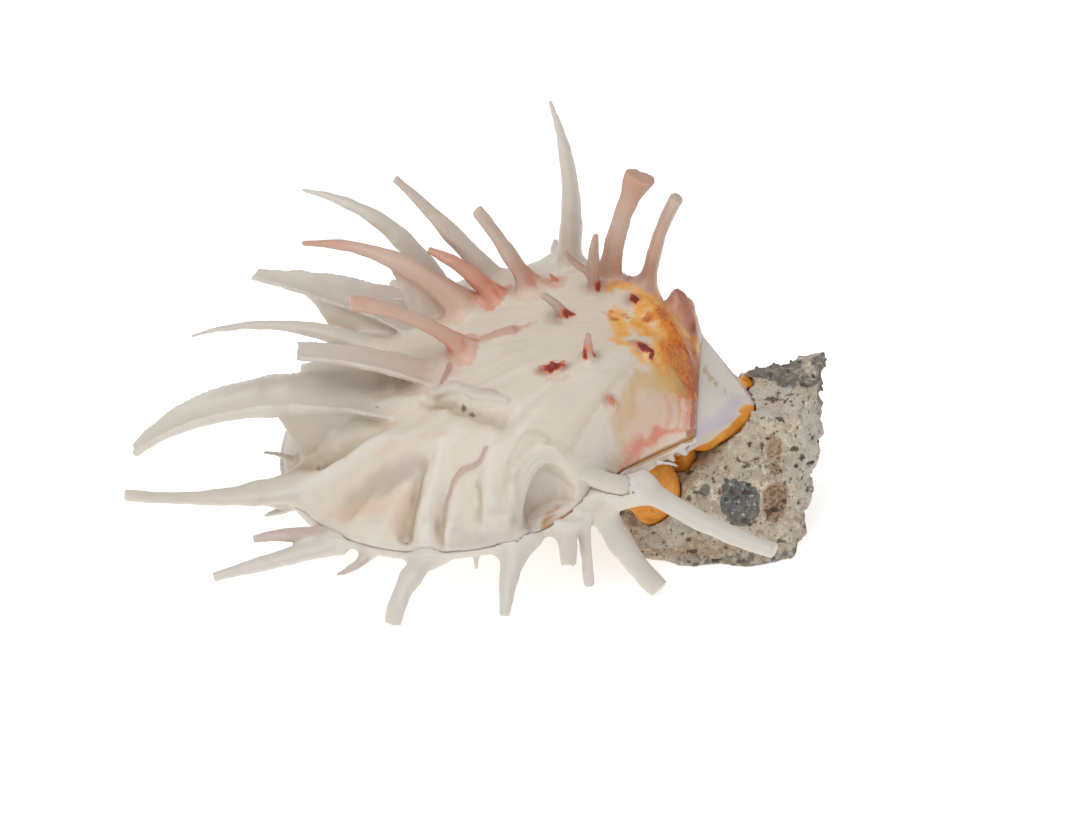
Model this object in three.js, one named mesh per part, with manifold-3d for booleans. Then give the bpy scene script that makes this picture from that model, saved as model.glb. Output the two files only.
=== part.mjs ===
// Thorny oyster shell: two closed valves with long spines, and the stone that the lower valve grew on.
// Millimetres, +Z up. The hinge is near the +X end and the free edge of the valves points to -X.
// Places on the shell are given as out (from the hinge to the free edge), far (along the hinge, to +Y)
// and up (square to the plane in which the two valves meet).
import * as THREE from "three";
import { ConvexGeometry } from "three/addons/geometries/ConvexGeometry.js";
import { ImprovedNoise } from "three/addons/math/ImprovedNoise.js";
import { TessellateModifier } from "three/addons/modifiers/TessellateModifier.js";
import { mergeVertices } from "three/addons/utils/BufferGeometryUtils.js";
import Module from "manifold-3d";

const wasm = await Module();
wasm.setup();

// Driving dimensions
const shellRadius = 47; // a valve measures twice this from the hinge to the free edge
const hingeHalf = 19; // half the straight hinge line
const domeHeight = 21; // top of the upper valve above the seam
const bowlDepth = 16; // bottom of the lower valve below its rim
const rimBand = 1.3; // upright edge of the lower valve, seen below the seam
const lowerOverhang = 1.012; // the lower valve is this much wider than the upper one
const seamHalf = 0.15; // half the gap between the two valves
const stoneGap = 0.3; // gap between the stone and the shell
const shellPitch = 12.3; // degrees that the free edge dips
const shellRoll = 9.8; // degrees that the near side dips
const shellYaw = 6.5; // degrees that the shell is turned about Z
const hingeHeight = 33; // middle of the hinge above the surface it all stands on
const hingeX = 47.719; // middle of the hinge from the middle of the whole
const hingeY = -6.733;
// Point of the lower valve behind the hinge, and where it meets the bowl
const beak = { out: -11, up: -7, pointHalf: 1.2, thickness: 3.2 };
const beakRoot = [{ out: 4, half: 19, up: -4.5 }, { out: 12, half: 9, up: -11 }];

// Shape of the walls
const innerWidth = 0.935; // inner wall as a share of the outer one
const upperInnerHeight = 0.88;
const lowerInnerDepth = 0.83;
const middleOut = 44; // the inner wall shrinks towards this point
const umboRise = 0.3; // how suddenly the dome rises at the hinge
const edgeFall = 2.3; // how late the dome falls to the free edge
const nearEarAngle = 60; // degrees from the middle line at which the dome ends and an ear starts
const farEarAngle = 68;
const earFall = 8; // how suddenly the dome drops to an ear
const earHeight = 0.04; // height of an ear as a share of the dome's
const foldStart = 0.55; // share of the way to the free edge where a fold starts
const foldFull = 0.9;
const bowlSlope = 0.62; // fall of the lower valve's side for each millimetre inwards
const bowlRoundness = 1.15;
const rootSink = 1.5; // how deep a spine starts inside its valve
const spineBend = 0.5; // where along its length a spine bends most
const spineFlatness = 0.75; // thickness of a spine as a share of its width
const marginSteps = 48;
const domeRings = [0.06, 0.15, 0.28, 0.44, 0.6, 0.76, 0.9, 1];
const bowlRings = [0, 0.4, 0.65, 0.84, 1];

const radians = THREE.MathUtils.degToRad;
const smooth = THREE.MathUtils.smoothstep;
const up = new THREE.Vector3(0, 0, 1);
const place = (out, far, height) => new THREE.Vector3(-out, far, height);

// Folds that run to the free edge: angle from the middle line and half width in degrees, depth as a share
const folds = [
  { angle: -9, halfWidth: 4, depth: 0.3 },
  { angle: -21, halfWidth: 4, depth: 0.35 },
  { angle: -33, halfWidth: 3.5, depth: 0.3 },
  { angle: -42, halfWidth: 3, depth: 0.25 },
  { angle: 14, halfWidth: 5, depth: 0.25 },
  { angle: 34, halfWidth: 5, depth: 0.25 },
];
// Hollow under an arched fold on the near side, with the share of the height that is left in it
const hollow = { out: 29.5, far: -42, radius: 8.5, rimStart: 0.7, rimEnd: 1.05, left: 0.4 };

// Edge of a valve, from the near end of the hinge round to its far end
function marginCurve() {
  const round = [];
  for (let angle = -98; angle <= 98; angle += 14) {
    const turn = radians(angle);
    round.push(new THREE.Vector3(shellRadius * (1 + Math.cos(turn)), shellRadius * Math.sin(turn), 0));
  }
  const nearEar = [[0, -hingeHalf], [9, -23.5], [18, -29.5], [28, -41.5]];
  const farEar = [[28, 42], [18, 33], [9, 27], [0, hingeHalf]];
  const corners = (list) => list.map(([out, far]) => new THREE.Vector3(out, far, 0));
  const points = [...corners(nearEar), ...round, ...corners(farEar)];
  return new THREE.CatmullRomCurve3(points, false, "catmullrom");
}

const margin = marginCurve().getPoints(marginSteps).map((point) => new THREE.Vector2(point.x, point.y));
const marginAngles = margin.map((point) => Math.atan2(point.y, point.x));

// Distance from the middle of the hinge to the margin, in the given direction
function marginReach(angle) {
  let step = marginAngles.findIndex((other) => other >= angle);
  step = step < 0 ? marginSteps : Math.max(1, step);
  const [from, to] = [marginAngles[step - 1], marginAngles[step]];
  const share = THREE.MathUtils.clamp((angle - from) / (to - from), 0, 1);
  return THREE.MathUtils.lerp(margin[step - 1].length(), margin[step].length(), share);
}

// The margin moved outwards by some millimetres
function grownMargin(grow) {
  return margin.map((point, step) => {
    const before = margin[Math.max(0, step - 1)];
    const after = margin[Math.min(marginSteps, step + 1)];
    const outwards = new THREE.Vector2(after.y - before.y, before.x - after.x).normalize();
    return point.clone().addScaledVector(outwards, grow);
  });
}

// Height of the upper valve's outer face above the seam
function domeAt(out, far) {
  const angle = Math.atan2(far, out);
  const degrees = THREE.MathUtils.radToDeg(angle);
  const share = Math.min(1, Math.hypot(out, far) / marginReach(angle));
  const profile = (at) => at ** umboRise * (1 - at ** edgeFall);
  const summit = (umboRise / (umboRise + edgeFall)) ** (1 / edgeFall);
  const earAngle = far < 0 ? nearEarAngle : farEarAngle;
  const earShare = 1 / (1 + (Math.abs(degrees) / earAngle) ** earFall);
  let height = domeHeight * (profile(share) / profile(summit)) * THREE.MathUtils.lerp(earHeight, 1, earShare);
  for (const fold of folds) {
    const across = (degrees - fold.angle) / fold.halfWidth;
    height *= 1 - fold.depth * Math.exp(-across * across) * smooth(share, foldStart, foldFull);
  }
  const fromHollow = Math.hypot(out - hollow.out, far - hollow.far) / hollow.radius;
  return height * THREE.MathUtils.lerp(hollow.left, 1, smooth(fromHollow, hollow.rimStart, hollow.rimEnd));
}

// Depth of the lower valve's outer face below the seam
function bowlAt(out, far) {
  const fromMiddle = Math.hypot(out - shellRadius, far);
  const inwards = Math.max(0, shellRadius * lowerOverhang - fromMiddle);
  const fall = ((bowlSlope * inwards) / bowlDepth) ** bowlRoundness;
  return -rimBand - bowlDepth * (1 - Math.exp(-fall));
}

// Closed mesh from corner points and triangles, turned so that its faces point outwards
function solidFrom(points, triangles) {
  const corners = points.flatMap((point) => [point.x, point.y, point.z]);
  let volume = 0;
  for (const [first, second, third] of triangles) {
    volume += points[first].dot(new THREE.Vector3().crossVectors(points[second], points[third]));
  }
  const order = volume > 0 ? triangles : triangles.map(([first, second, third]) => [first, third, second]);
  return new wasm.Manifold(new wasm.Mesh({
    numProp: 3,
    vertProperties: new Float32Array(corners),
    triVerts: new Uint32Array(order.flat()),
  }));
}

function solidOf(geometry) {
  const plain = geometry.clone();
  plain.deleteAttribute("normal");
  plain.deleteAttribute("uv");
  const merged = mergeVertices(plain, 1e-4);
  return new wasm.Manifold(new wasm.Mesh({
    numProp: 3,
    vertProperties: new Float32Array(merged.attributes.position.array),
    triVerts: new Uint32Array(merged.index.array),
  }));
}

function geometryOf(solid) {
  const { vertProperties, triVerts } = solid.getMesh();
  const geometry = new THREE.BufferGeometry();
  geometry.setAttribute("position", new THREE.BufferAttribute(vertProperties, 3));
  geometry.setIndex(new THREE.BufferAttribute(triVerts, 1));
  geometry.computeVertexNormals();
  return geometry;
}

// Joins solids and keeps the one body that they make
function joined(solids) {
  const whole = solids.reduce((sum, solid) => sum.add(solid));
  return whole.decompose().reduce((best, piece) => (piece.volume() > best.volume() ? piece : best));
}

// A face over the whole outline, as rows of points from one middle point to a closed edge
function valveWall(rows, edge) {
  const points = rows.flat();
  const triangles = [];
  const width = rows[1].length;
  for (let ring = 1; ring < rows.length; ring++) {
    for (let step = 0; step < width; step++) {
      if (step === width - 1 && !edge.closed) {
        continue;
      }
      const next = (step + 1) % width;
      const here = 1 + (ring - 1) * width;
      if (ring === 1) {
        triangles.push([0, here + step, here + next]);
        continue;
      }
      const before = here - width;
      triangles.push([before + step, here + step, here + next], [before + step, here + next, before + next]);
    }
  }
  return { points, triangles, loop: edge.loop(width, rows.length - 1) };
}

// Outer wall, a smaller copy of it turned inwards, and the flat rim between the two
function hollowValve(wall, innerHeight, rimHeight) {
  const count = wall.points.length;
  const inner = wall.points.map((point) => new THREE.Vector3(
    THREE.MathUtils.lerp(-middleOut, point.x, innerWidth),
    point.y * innerWidth,
    rimHeight + (point.z - rimHeight) * innerHeight,
  ));
  const triangles = [...wall.triangles];
  for (const [first, second, third] of wall.triangles) {
    triangles.push([first + count, third + count, second + count]);
  }
  wall.loop.forEach((corner, index) => {
    const next = wall.loop[(index + 1) % wall.loop.length];
    triangles.push([corner, corner + count, next + count], [corner, next + count, next]);
  });
  return solidFrom([...wall.points, ...inner], triangles);
}

// Outer wall closed by a lid over its edge
function filledValve(wall) {
  const lid = wall.points.length;
  const height = wall.points[wall.loop[0]].z;
  const triangles = [...wall.triangles];
  wall.loop.forEach((corner, index) => {
    triangles.push([corner, lid, wall.loop[(index + 1) % wall.loop.length]]);
  });
  return solidFrom([...wall.points, place(middleOut, 0, height)], triangles);
}

// Rows of the dome run from the middle of the hinge; its edge is the margin and the hinge line
function domeWall(grow) {
  const grown = grownMargin(grow);
  const rows = [[place(-grow, 0, seamHalf - grow)]];
  for (const share of domeRings) {
    rows.push(margin.map((point, step) => {
      const height = seamHalf + grow + domeAt(point.x * share, point.y * share);
      return place(grown[step].x * share - grow * (1 - share), grown[step].y * share, height);
    }));
  }
  if (grow > 0) {
    rows.push(grown.map((point) => place(point.x, point.y, seamHalf - grow)));
  }
  const loop = (width, rings) => {
    const corner = (ring, step) => 1 + (ring - 1) * width + step;
    const edge = Array.from({ length: width }, (_, step) => corner(rings, step));
    for (let ring = rings - 1; ring >= 1; ring--) {
      edge.push(corner(ring, width - 1));
    }
    edge.push(0);
    for (let ring = 1; ring < rings; ring++) {
      edge.push(corner(ring, 0));
    }
    return edge;
  };
  return valveWall(rows, { closed: false, loop });
}

// Rows of the bowl run from the middle of the valve to the margin and the hinge line
function bowlWall(grow) {
  const hinge = [hingeHalf / 2, 0, -hingeHalf / 2].map((far) => new THREE.Vector2(0, far));
  const edge = [...grownMargin(grow), ...hinge];
  const rows = bowlRings.map((share) => edge.map((point) => {
    const [out, far] = [THREE.MathUtils.lerp(middleOut, point.x, share), point.y * share];
    return place(out * lowerOverhang, far * lowerOverhang, bowlAt(out, far) - grow);
  }));
  rows[0] = [rows[0][0]];
  rows.push(edge.map((point) => place(point.x * lowerOverhang, point.y * lowerOverhang, -seamHalf)));
  const loop = (width, rings) => Array.from({ length: width }, (_, step) => 1 + (rings - 1) * width + step);
  return valveWall(rows, { closed: true, loop });
}

// Three-sided beak behind the hinge, whose upper face is the flat area between hinge line and point
function beakSolid(grow) {
  const corners = [
    place(-grow, hingeHalf + grow, -seamHalf),
    place(-grow, -hingeHalf - grow, -seamHalf),
    place(beak.out - grow, beak.pointHalf, beak.up),
    place(beak.out - grow, -beak.pointHalf, beak.up),
    place(beak.out - grow, 0, beak.up - beak.thickness - grow),
  ];
  for (const { out, half, up: height } of beakRoot) {
    corners.push(place(out, half, height - grow), place(out, -half, height - grow));
  }
  return solidOf(new ConvexGeometry(corners));
}

// Width of a spine at a share of its length, between four stated widths
function widthAt(spine, share) {
  const stations = spine.stations ?? [0, 0.2, 0.6, 1];
  const last = stations.length - 1;
  const step = Math.min(last, Math.max(1, stations.findIndex((station) => station >= share)));
  const part = (share - stations[step - 1]) / (stations[step] - stations[step - 1]);
  return THREE.MathUtils.lerp(spine.widths[step - 1], spine.widths[step], part);
}

const roundSection = Array.from({ length: 6 }, (_, side) => {
  const turn = radians(60 * side + 30);
  return new THREE.Vector2(Math.cos(turn) / 2, Math.sin(turn) / 2);
});
const gutterSection = [
  [-0.5, 0.42], [-0.36, -0.2], [0, -0.42], [0.36, -0.2], [0.5, 0.42], [0.32, 0.3], [0, -0.14], [-0.32, 0.3],
].map(([across, lift]) => new THREE.Vector2(across, lift));

// A spine that bends in the upright plane of its heading, lofted through sections of its own shape
function spineSolid(spine, rootHeight, grow = 0) {
  const [heading, lift] = [radians(spine.heading), radians(spine.lift)];
  const away = new THREE.Vector3(-Math.cos(heading), Math.sin(heading), 0);
  const across = new THREE.Vector3().crossVectors(up, away);
  const chord = away.clone().multiplyScalar(Math.cos(lift)).addScaledVector(up, Math.sin(lift));
  const aside = away.clone().multiplyScalar(-Math.sin(lift)).addScaledVector(up, Math.cos(lift));
  const root = place(spine.root[0], spine.root[1], rootHeight + (spine.raised ?? 0));
  const bend = root.clone().addScaledVector(chord, spine.length * (spine.bend ?? spineBend));
  bend.addScaledVector(aside, 2 * (spine.bow ?? 0));
  const tip = root.clone().addScaledVector(chord, spine.length + grow);
  const curve = new THREE.QuadraticBezierCurve3(root.clone().addScaledVector(chord, -rootSink), bend, tip);
  const section = spine.gutter ? gutterSection : roundSection;
  const steps = spine.length > 10 ? 5 : 2;
  const points = [];
  for (let step = 0; step <= steps; step++) {
    const share = step / steps;
    const width = widthAt(spine, share) + 2 * grow;
    const thickness = width * (spine.flat ?? spineFlatness);
    const tangent = curve.getTangent(share);
    const wide = across.clone().applyAxisAngle(tangent, radians(spine.roll ?? 0));
    const thin = new THREE.Vector3().crossVectors(tangent, wide);
    for (const corner of section) {
      const point = curve.getPoint(share);
      point.addScaledVector(wide, corner.x * width);
      point.addScaledVector(thin, corner.y * thickness);
      points.push(point);
    }
  }
  const sides = section.length;
  const triangles = [];
  for (let step = 0; step < steps; step++) {
    for (let side = 0; side < sides; side++) {
      const [here, next] = [step * sides + side, step * sides + (side + 1) % sides];
      triangles.push([here, next, next + sides], [here, next + sides, here + sides]);
    }
  }
  for (const [first, second, third] of THREE.ShapeUtils.triangulateShape(section, [])) {
    const end = steps * sides;
    triangles.push([first, third, second], [end + first, end + second, end + third]);
  }
  return solidFrom(points, triangles);
}

// Rounded lump with half sizes along out, far and up, turned about the upright by some degrees
function lumpSolid(lump) {
  const geometry = new THREE.IcosahedronGeometry(1, 1);
  geometry.scale(...lump.size);
  geometry.rotateZ(radians(-lump.turn ?? 0));
  geometry.translate(...place(...lump.at).toArray());
  return solidOf(geometry);
}

const flaredEnd = { stations: [0, 0.3, 0.86, 1] }; // where a spine with a flared end has its four widths
const gutter = (flat) => ({ gutter: true, flat });

// Spines of the upper valve. Heading 0 points from the hinge to the free edge, positive to the far side;
// lift is the rise in degrees; bow is how far the middle stands off the straight line.
const upperSpines = [
  { root: [26.5, 24], heading: 5, lift: 98, length: 43, bow: 2.7, widths: [8, 7, 4.5, 0.6] },
  { root: [16, 16], heading: 0, lift: 116, length: 26.5, bow: -0.8, widths: [6.5, 4, 3, 6], ...flaredEnd },
  { root: [8.5, 15], heading: 0, lift: 116, length: 26, bow: -1, widths: [7.5, 4, 2, 2.3] },
  { root: [19, 11], heading: 25, lift: 104, length: 15.5, bow: -0.5, widths: [5.5, 3.2, 2.4, 1.2] },
  { root: [20.5, 12], heading: 10, lift: 93, length: 6.5, raised: 7, bow: 0.6, widths: [2.4, 2, 1.4, 0.8] },
  { root: [25, 2.5], heading: 5, lift: 60, length: 7.5, bow: 0.5, widths: [5, 3.2, 2.2, 1.6] },
  { root: [19, -14], heading: -36, lift: 106, length: 6, bow: 0, widths: [5, 2.6, 2.2, 0.9] },
  { root: [26, -17], heading: -30, lift: 70, length: 2.6, widths: [5, 3.4, 2, 0.8] },
  { root: [15, -21], heading: -50, lift: 80, length: 2, widths: [3.4, 2.6, 1.8, 1] },
  { root: [10.5, 8.5], heading: 40, lift: 100, length: 3, widths: [4, 3, 2, 0.8] },
  { root: [12, 12], heading: 40, lift: 100, length: 3, widths: [3, 2.4, 1.8, 0.8] },
  { root: [8, -7.5], heading: -40, lift: 90, length: 3, widths: [4.4, 3, 2, 0.8] },
  { root: [11, 3], heading: 10, lift: 90, length: 1.6, widths: [3.4, 2.6, 2, 1.2] },
  { root: [33.5, 14.5], heading: 23, lift: 67, length: 21.5, bow: 0.5, widths: [7, 4.6, 3.2, 2.6] },
  { root: [41.5, 13.5], heading: 20, lift: 41, length: 18, bow: 1.4, widths: [6, 4.4, 3.6, 1.8] },
  { root: [43, 22], heading: 15, lift: 59, length: 32.5, bow: 0.8, widths: [7.5, 5.5, 3.6, 1.6] },
  { root: [57, 25], heading: 15, lift: 49, length: 39.5, bow: 7.4, widths: [8, 6, 4, 0.7] },
  { root: [49, 12.5], heading: 16, lift: 26, length: 39, bow: 5.8, widths: [8, 5.6, 4, 0.8] },
  { root: [61, 16], heading: 15, lift: 19, length: 39, bow: 1.6, widths: [14, 12, 8, 3], ...gutter(0.5) },
  { root: [69, 9], heading: 12, lift: 54, length: 19, widths: [15, 13, 8, 3], flat: 0.16, roll: 90 },
  { root: [70, 9], heading: 8, lift: 9, length: 43.5, bow: 5, widths: [6, 4, 2.4, 0.6] },
  { root: [47, -4.5], heading: -5, lift: 41, length: 27, bow: 2.4, widths: [7.5, 4.6, 3.5, 3.4] },
  { root: [56, -9], heading: -7, lift: 29, length: 27.5, bow: 1.5, widths: [11, 8, 6, 5], ...gutter(0.5) },
  { root: [66, -4], heading: -6, lift: 21, length: 18, bow: 1, widths: [8, 6, 5, 3] },
  {
    root: [70, -12], heading: -9, lift: 3, length: 51, bow: 7, bend: 0.62,
    widths: [16, 12, 10, 3.6], ...gutter(0.8),
  },
  { root: [86, -18], heading: -16, lift: 18, length: 39, bow: -2.3, widths: [13, 9, 3.4, 2.8] },
  { root: [90, -11], heading: -12, lift: 38, length: 7, bow: 0.6, widths: [2.6, 1.8, 1.2, 0.4] },
  { root: [36.5, -0.5], heading: 0, lift: -8, length: 10.5, bow: 1.2, widths: [2.6, 2.6, 2.2, 1.2] },
  { root: [31, 36], heading: 80, lift: -14, length: 14, bow: -0.6, widths: [6, 4, 3, 1.4] },
  { root: [46, 39], heading: 66, lift: -12, length: 18, bow: -1, widths: [7, 4.6, 3.4, 1] },
  { root: [62, 34], heading: 50, lift: -8, length: 18, bow: -1, widths: [7, 4.6, 3.4, 2] },
];

// Spines of the lower valve, with a foot to each side that reaches the ground
const lowerSpines = [
  { root: [78, -37], heading: -18, lift: 4, length: 26.5, widths: [6, 4.6, 4, 2.4] },
  { root: [80, -34], heading: -18, lift: 20, length: 16, bow: 0.9, widths: [4, 4, 3.4, 2] },
  { root: [70, -41], heading: -50, lift: 3, length: 9, bow: -0.9, widths: [4, 2.6, 2, 0.7] },
  { root: [56.5, -45.5], heading: -58, lift: -22, length: 16, bow: 2.2, widths: [7, 5.2, 4.4, 3.6] },
  { root: [37.5, -45.5], heading: -78, lift: -26, length: 15.5, bow: 1, widths: [9, 6, 4, 2.4] },
  { root: [46, -46.5], heading: -80, lift: -60, length: 3, widths: [2, 1.6, 1.2, 0.6] },
  { root: [27, -42], heading: -85, lift: -50, length: 7, widths: [5.5, 4.6, 4, 2.6] },
  { root: [23.5, -39], heading: -80, lift: -62, length: 14, bow: 0.6, widths: [3, 2.4, 2.2, 1.9] },
  { root: [20, -33], heading: -140, lift: -60, length: 22, bow: -2.6, widths: [9, 6, 5.2, 3.6] },
  { root: [11, -30], heading: -154, lift: -29, length: 28.5, bow: -2, widths: [6.5, 5, 4.4, 3.6] },
  { root: [88, -20], heading: -14, lift: -6, length: 9, widths: [4, 3, 2, 0.8] },
  { root: [88, 20], heading: 24, lift: -26, length: 16, bow: -1, widths: [6, 4, 3, 1.4] },
  { root: [75, 36], heading: 44, lift: -24, length: 19, bow: -1.5, widths: [7, 4.6, 3.4, 2] },
  { root: [57, 42], heading: 66, lift: -34, length: 21, bow: -2, widths: [7, 4.6, 3.4, 2.4] },
  { root: [38, 42], heading: 88, lift: -30, length: 18, bow: -1, widths: [6, 4, 3, 1.2] },
  { root: [24, 38], heading: 112, lift: -34, length: 15, widths: [6, 4, 3, 2] },
  { root: [46, 27], heading: 84, lift: -66, length: 20.6, bow: -0.8, widths: [7, 4.6, 3.8, 3] },
  { root: [66, 20], heading: 40, lift: -68, length: 13.3, bow: -0.6, widths: [6, 4.4, 3.6, 2.8] },
  { root: [62, -24], heading: -40, lift: -62, length: 5, widths: [6, 4, 3, 1.6] },
];

// Rounded shoulder at the far end of the hinge, and the outgrowth that carries the two near spines
const farShoulder = { at: [4.5, 17, 3.5], size: [5, 5.6, 7.4], turn: 0 };
const outgrowth = { at: [14, -30, -3.2], size: [9, 4.6, 4], turn: -40 };

function upperValve(grow) {
  const wall = domeWall(grow);
  const dome = grow ? filledValve(wall) : hollowValve(wall, upperInnerHeight, seamHalf);
  const spines = upperSpines.map((spine) => spineSolid(spine, domeAt(...spine.root), grow));
  const belowSeam = new THREE.BoxGeometry(4 * shellRadius, 4 * shellRadius, shellRadius);
  belowSeam.translate(-shellRadius, 0, seamHalf - grow - shellRadius / 2);
  return joined([joined([dome, lumpSolid(farShoulder), ...spines]).subtract(solidOf(belowSeam))]);
}

function lowerValve(grow) {
  const bowl = grow ? filledValve(bowlWall(grow)) : hollowValve(bowlWall(0), lowerInnerDepth, -seamHalf);
  const spines = lowerSpines.map((spine) => spineSolid(spine, bowlAt(...spine.root), grow));
  return joined([bowl, beakSolid(grow), lumpSolid(outgrowth), ...spines]);
}

// The shell's own frame: tilted as it rests on the stone and on its lower spines
const shell = new THREE.Group();
shell.position.set(hingeX, hingeY, hingeHeight);
shell.rotation.set(radians(shellRoll), radians(-shellPitch), radians(-shellYaw), "ZYX");
shell.updateMatrixWorld(true);

const upperGrown = upperValve(stoneGap);
const lowerSolid = joined([lowerValve(0).subtract(upperGrown)]);

// Angular stone, given by the corners of its faces from the middle of the hinge
const stoneCorners = [
  [13.5, -5, -5], [24, -4, 1.5], [28.8, 9, 2], [22, 10, -0.5], [11, 9, -1.8],
  [3, -12, -11.5], [26.5, -5, -16], [-5, -17, -22], [26, 12, -12], [8, 17, -12], [-12, 17, -22],
  [-21.5, -15.5, -33], [-12, -22, -33], [8.5, -25, -33], [19.5, -20, -33], [24, -6, -33],
  [22, 17, -33], [4, 23, -33], [-16, 19, -33], [-24, 2, -33],
];
const stoneFacet = 6.5; // longest edge of a face
const stoneLumps = [{ size: 7, height: 1.1 }, { size: 3, height: 0.55 }];
const stoneShrink = 0.4; // its lumps stand this much inside the corners
const stoneFoot = 0.5; // below this height its sides are smooth and its base is flat

function stoneSolid() {
  const corners = stoneCorners.map(([x, y, z]) => new THREE.Vector3(x + hingeX, y + hingeY, z + hingeHeight));
  const block = new TessellateModifier(stoneFacet, 8).modify(new ConvexGeometry(corners));
  block.deleteAttribute("normal");
  block.deleteAttribute("uv");
  const fine = mergeVertices(block, 1e-4);
  const noise = new ImprovedNoise();
  const points = fine.attributes.position;
  const middle = new THREE.Vector3(hingeX, hingeY, hingeHeight / 2);
  for (let index = 0; index < points.count; index++) {
    const point = new THREE.Vector3().fromBufferAttribute(points, index);
    if (point.z < stoneFoot) {
      continue;
    }
    const rough = stoneLumps.map(({ size, height }) => (
      height * noise.noise(point.x / size, point.y / size, point.z / size)
    ));
    const outwards = point.clone().sub(middle).normalize();
    point.addScaledVector(outwards, rough[0] + rough[1] - stoneShrink);
    points.setXYZ(index, point.x, point.y, Math.max(0, point.z));
  }
  const shellInPlace = (solid) => solid.transform(shell.matrixWorld.elements);
  const cut = solidOf(fine).subtract(shellInPlace(lowerValve(stoneGap))).subtract(shellInPlace(upperGrown));
  return joined([cut]);
}

const shellMaterial = new THREE.MeshStandardMaterial({ color: 0xe6ddcb, roughness: 0.45, metalness: 0 });
const lowerMaterial = new THREE.MeshStandardMaterial({ color: 0xe9e4da, roughness: 0.45, metalness: 0 });
const stoneMaterial = new THREE.MeshStandardMaterial({ color: 0x9a8f82, roughness: 0.95, metalness: 0 });

function named(name, solid, material) {
  const mesh = new THREE.Mesh(geometryOf(solid), material);
  mesh.name = name;
  return mesh;
}

const object = new THREE.Group();
shell.add(named("upper_valve", upperValve(0), shellMaterial));
shell.add(named("lower_valve", lowerSolid, lowerMaterial));
object.add(shell);
object.add(named("stone", stoneSolid(), stoneMaterial));

export default object;
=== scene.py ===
# Thorny oyster shell grown to a lump of stone: finished surfaces for both valves and the stone.
# Shapes are worked out in millimetres on the shell itself: out from the hinge, far along the hinge, and up
# from the seam between the valves.
import math
import bmesh
import bpy
import numpy as np
import openvdb
from mathutils import Euler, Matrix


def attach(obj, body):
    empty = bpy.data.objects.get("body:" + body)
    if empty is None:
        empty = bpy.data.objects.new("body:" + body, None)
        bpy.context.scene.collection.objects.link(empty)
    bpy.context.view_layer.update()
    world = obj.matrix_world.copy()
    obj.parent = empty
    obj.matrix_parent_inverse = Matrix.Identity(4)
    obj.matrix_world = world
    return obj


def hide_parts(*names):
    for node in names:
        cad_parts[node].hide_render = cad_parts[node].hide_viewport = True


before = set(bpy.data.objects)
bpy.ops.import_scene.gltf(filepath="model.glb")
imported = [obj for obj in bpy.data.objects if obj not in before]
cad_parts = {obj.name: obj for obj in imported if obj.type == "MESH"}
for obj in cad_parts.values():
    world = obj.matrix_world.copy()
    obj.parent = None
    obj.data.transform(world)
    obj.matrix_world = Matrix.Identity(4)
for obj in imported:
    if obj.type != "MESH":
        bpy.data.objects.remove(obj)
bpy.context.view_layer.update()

# Where the shell stands: middle of its hinge, and how far it leans
placing = {"hinge": (47.719, -6.733, 33.0), "pitch": 12.3, "roll": 9.8, "yaw": 6.5}
shellForm = {
    "radius": 47, "hingeHalf": 19, "domeHeight": 21, "bowlDepth": 16, "rimBand": 1.3, "lowerOverhang": 1.012,
    "seamHalf": 0.02, "umboRise": 0.3, "edgeFall": 2.3, "nearEarAngle": 60, "farEarAngle": 68, "earFall": 8,
    "earHeight": 0.04, "bowlSlope": 0.62, "bowlRoundness": 1.15,
    "arcEnd": 98, "arcStep": 14, "edgeThickness": 0.6, "wall": 2.2, "steepest": 3.5, "hingeDrop": -0.15,
    "hingeSide": (100, 80), "marginSteps": 400, "backFall": 3,
    "nearEar": [(0, -19), (9, -23.5), (18, -29.5), (28, -41.5)],
    "farEar": [(28, 42), (18, 33), (9, 27), (0, 19)],
}
# Voxel sizes in mm, voxels worked out either side of a surface, the most triangles, and the depths in mm that
# the masks for painted shade in hollows, painted light through thin edges, and the seam look at
grain = {"shell": 0.42, "stone": 0.45, "band": 8, "valveTriangles": 190000, "stoneTriangles": 120000,
         "hollowReach": 2.6, "edgeReach": 1.2, "seamClear": (0.5, 1.6)}
# Whole numbers that the random swells are stirred with
stir = {"seed": 7919, "factor": 2654435761, "keep": 0xffffffff, "shift": 15, "low": 0xffff}

turnShell = np.array(Euler([math.radians(placing["roll"]), math.radians(-placing["pitch"]),
                            math.radians(-placing["yaw"])], "XYZ").to_matrix())


def toWorld(points):  # from the shell's own millimetres to where it stands
    return points @ turnShell.T + np.array(placing["hinge"])


def toShell(points):
    return (points - np.array(placing["hinge"])) @ turnShell


def linear(hexColour):  # sRGB hex to linear light
    channels = [int(hexColour[index:index + 2], 16) / 255 for index in (1, 3, 5)]
    return (*[c / 12.92 if c <= 0.04045 else ((c + 0.055) / 1.055) ** 2.4 for c in channels], 1)


def ramp(value, low, high):  # 0 at low, 1 at high, eased between
    part = np.clip((value - low) / (high - low), 0, 1)
    return part * part * (3 - 2 * part)


def lumps(points, size, seed):  # smooth random swells from -1 to 1, about one for each size in millimetres
    cells = np.asarray(points, np.float32) / size
    low = np.floor(cells).astype(np.int64)
    part = cells - low
    part = part * part * (3 - 2 * part)
    total = 0
    for corner in np.ndindex((2,) * cells.shape[-1]):
        mixed = np.full(low.shape[:-1], seed * stir["seed"], np.int64)
        weight = 1.0
        for axis, step in enumerate(corner):
            mixed = (mixed ^ (low[..., axis] + step)) * stir["factor"] & stir["keep"]
            mixed ^= mixed >> stir["shift"]
            weight = weight * (part[..., axis] if step else 1 - part[..., axis])
        total = total + weight * ((mixed & stir["low"]) / (stir["low"] / 2) - 1)
    return total


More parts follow.
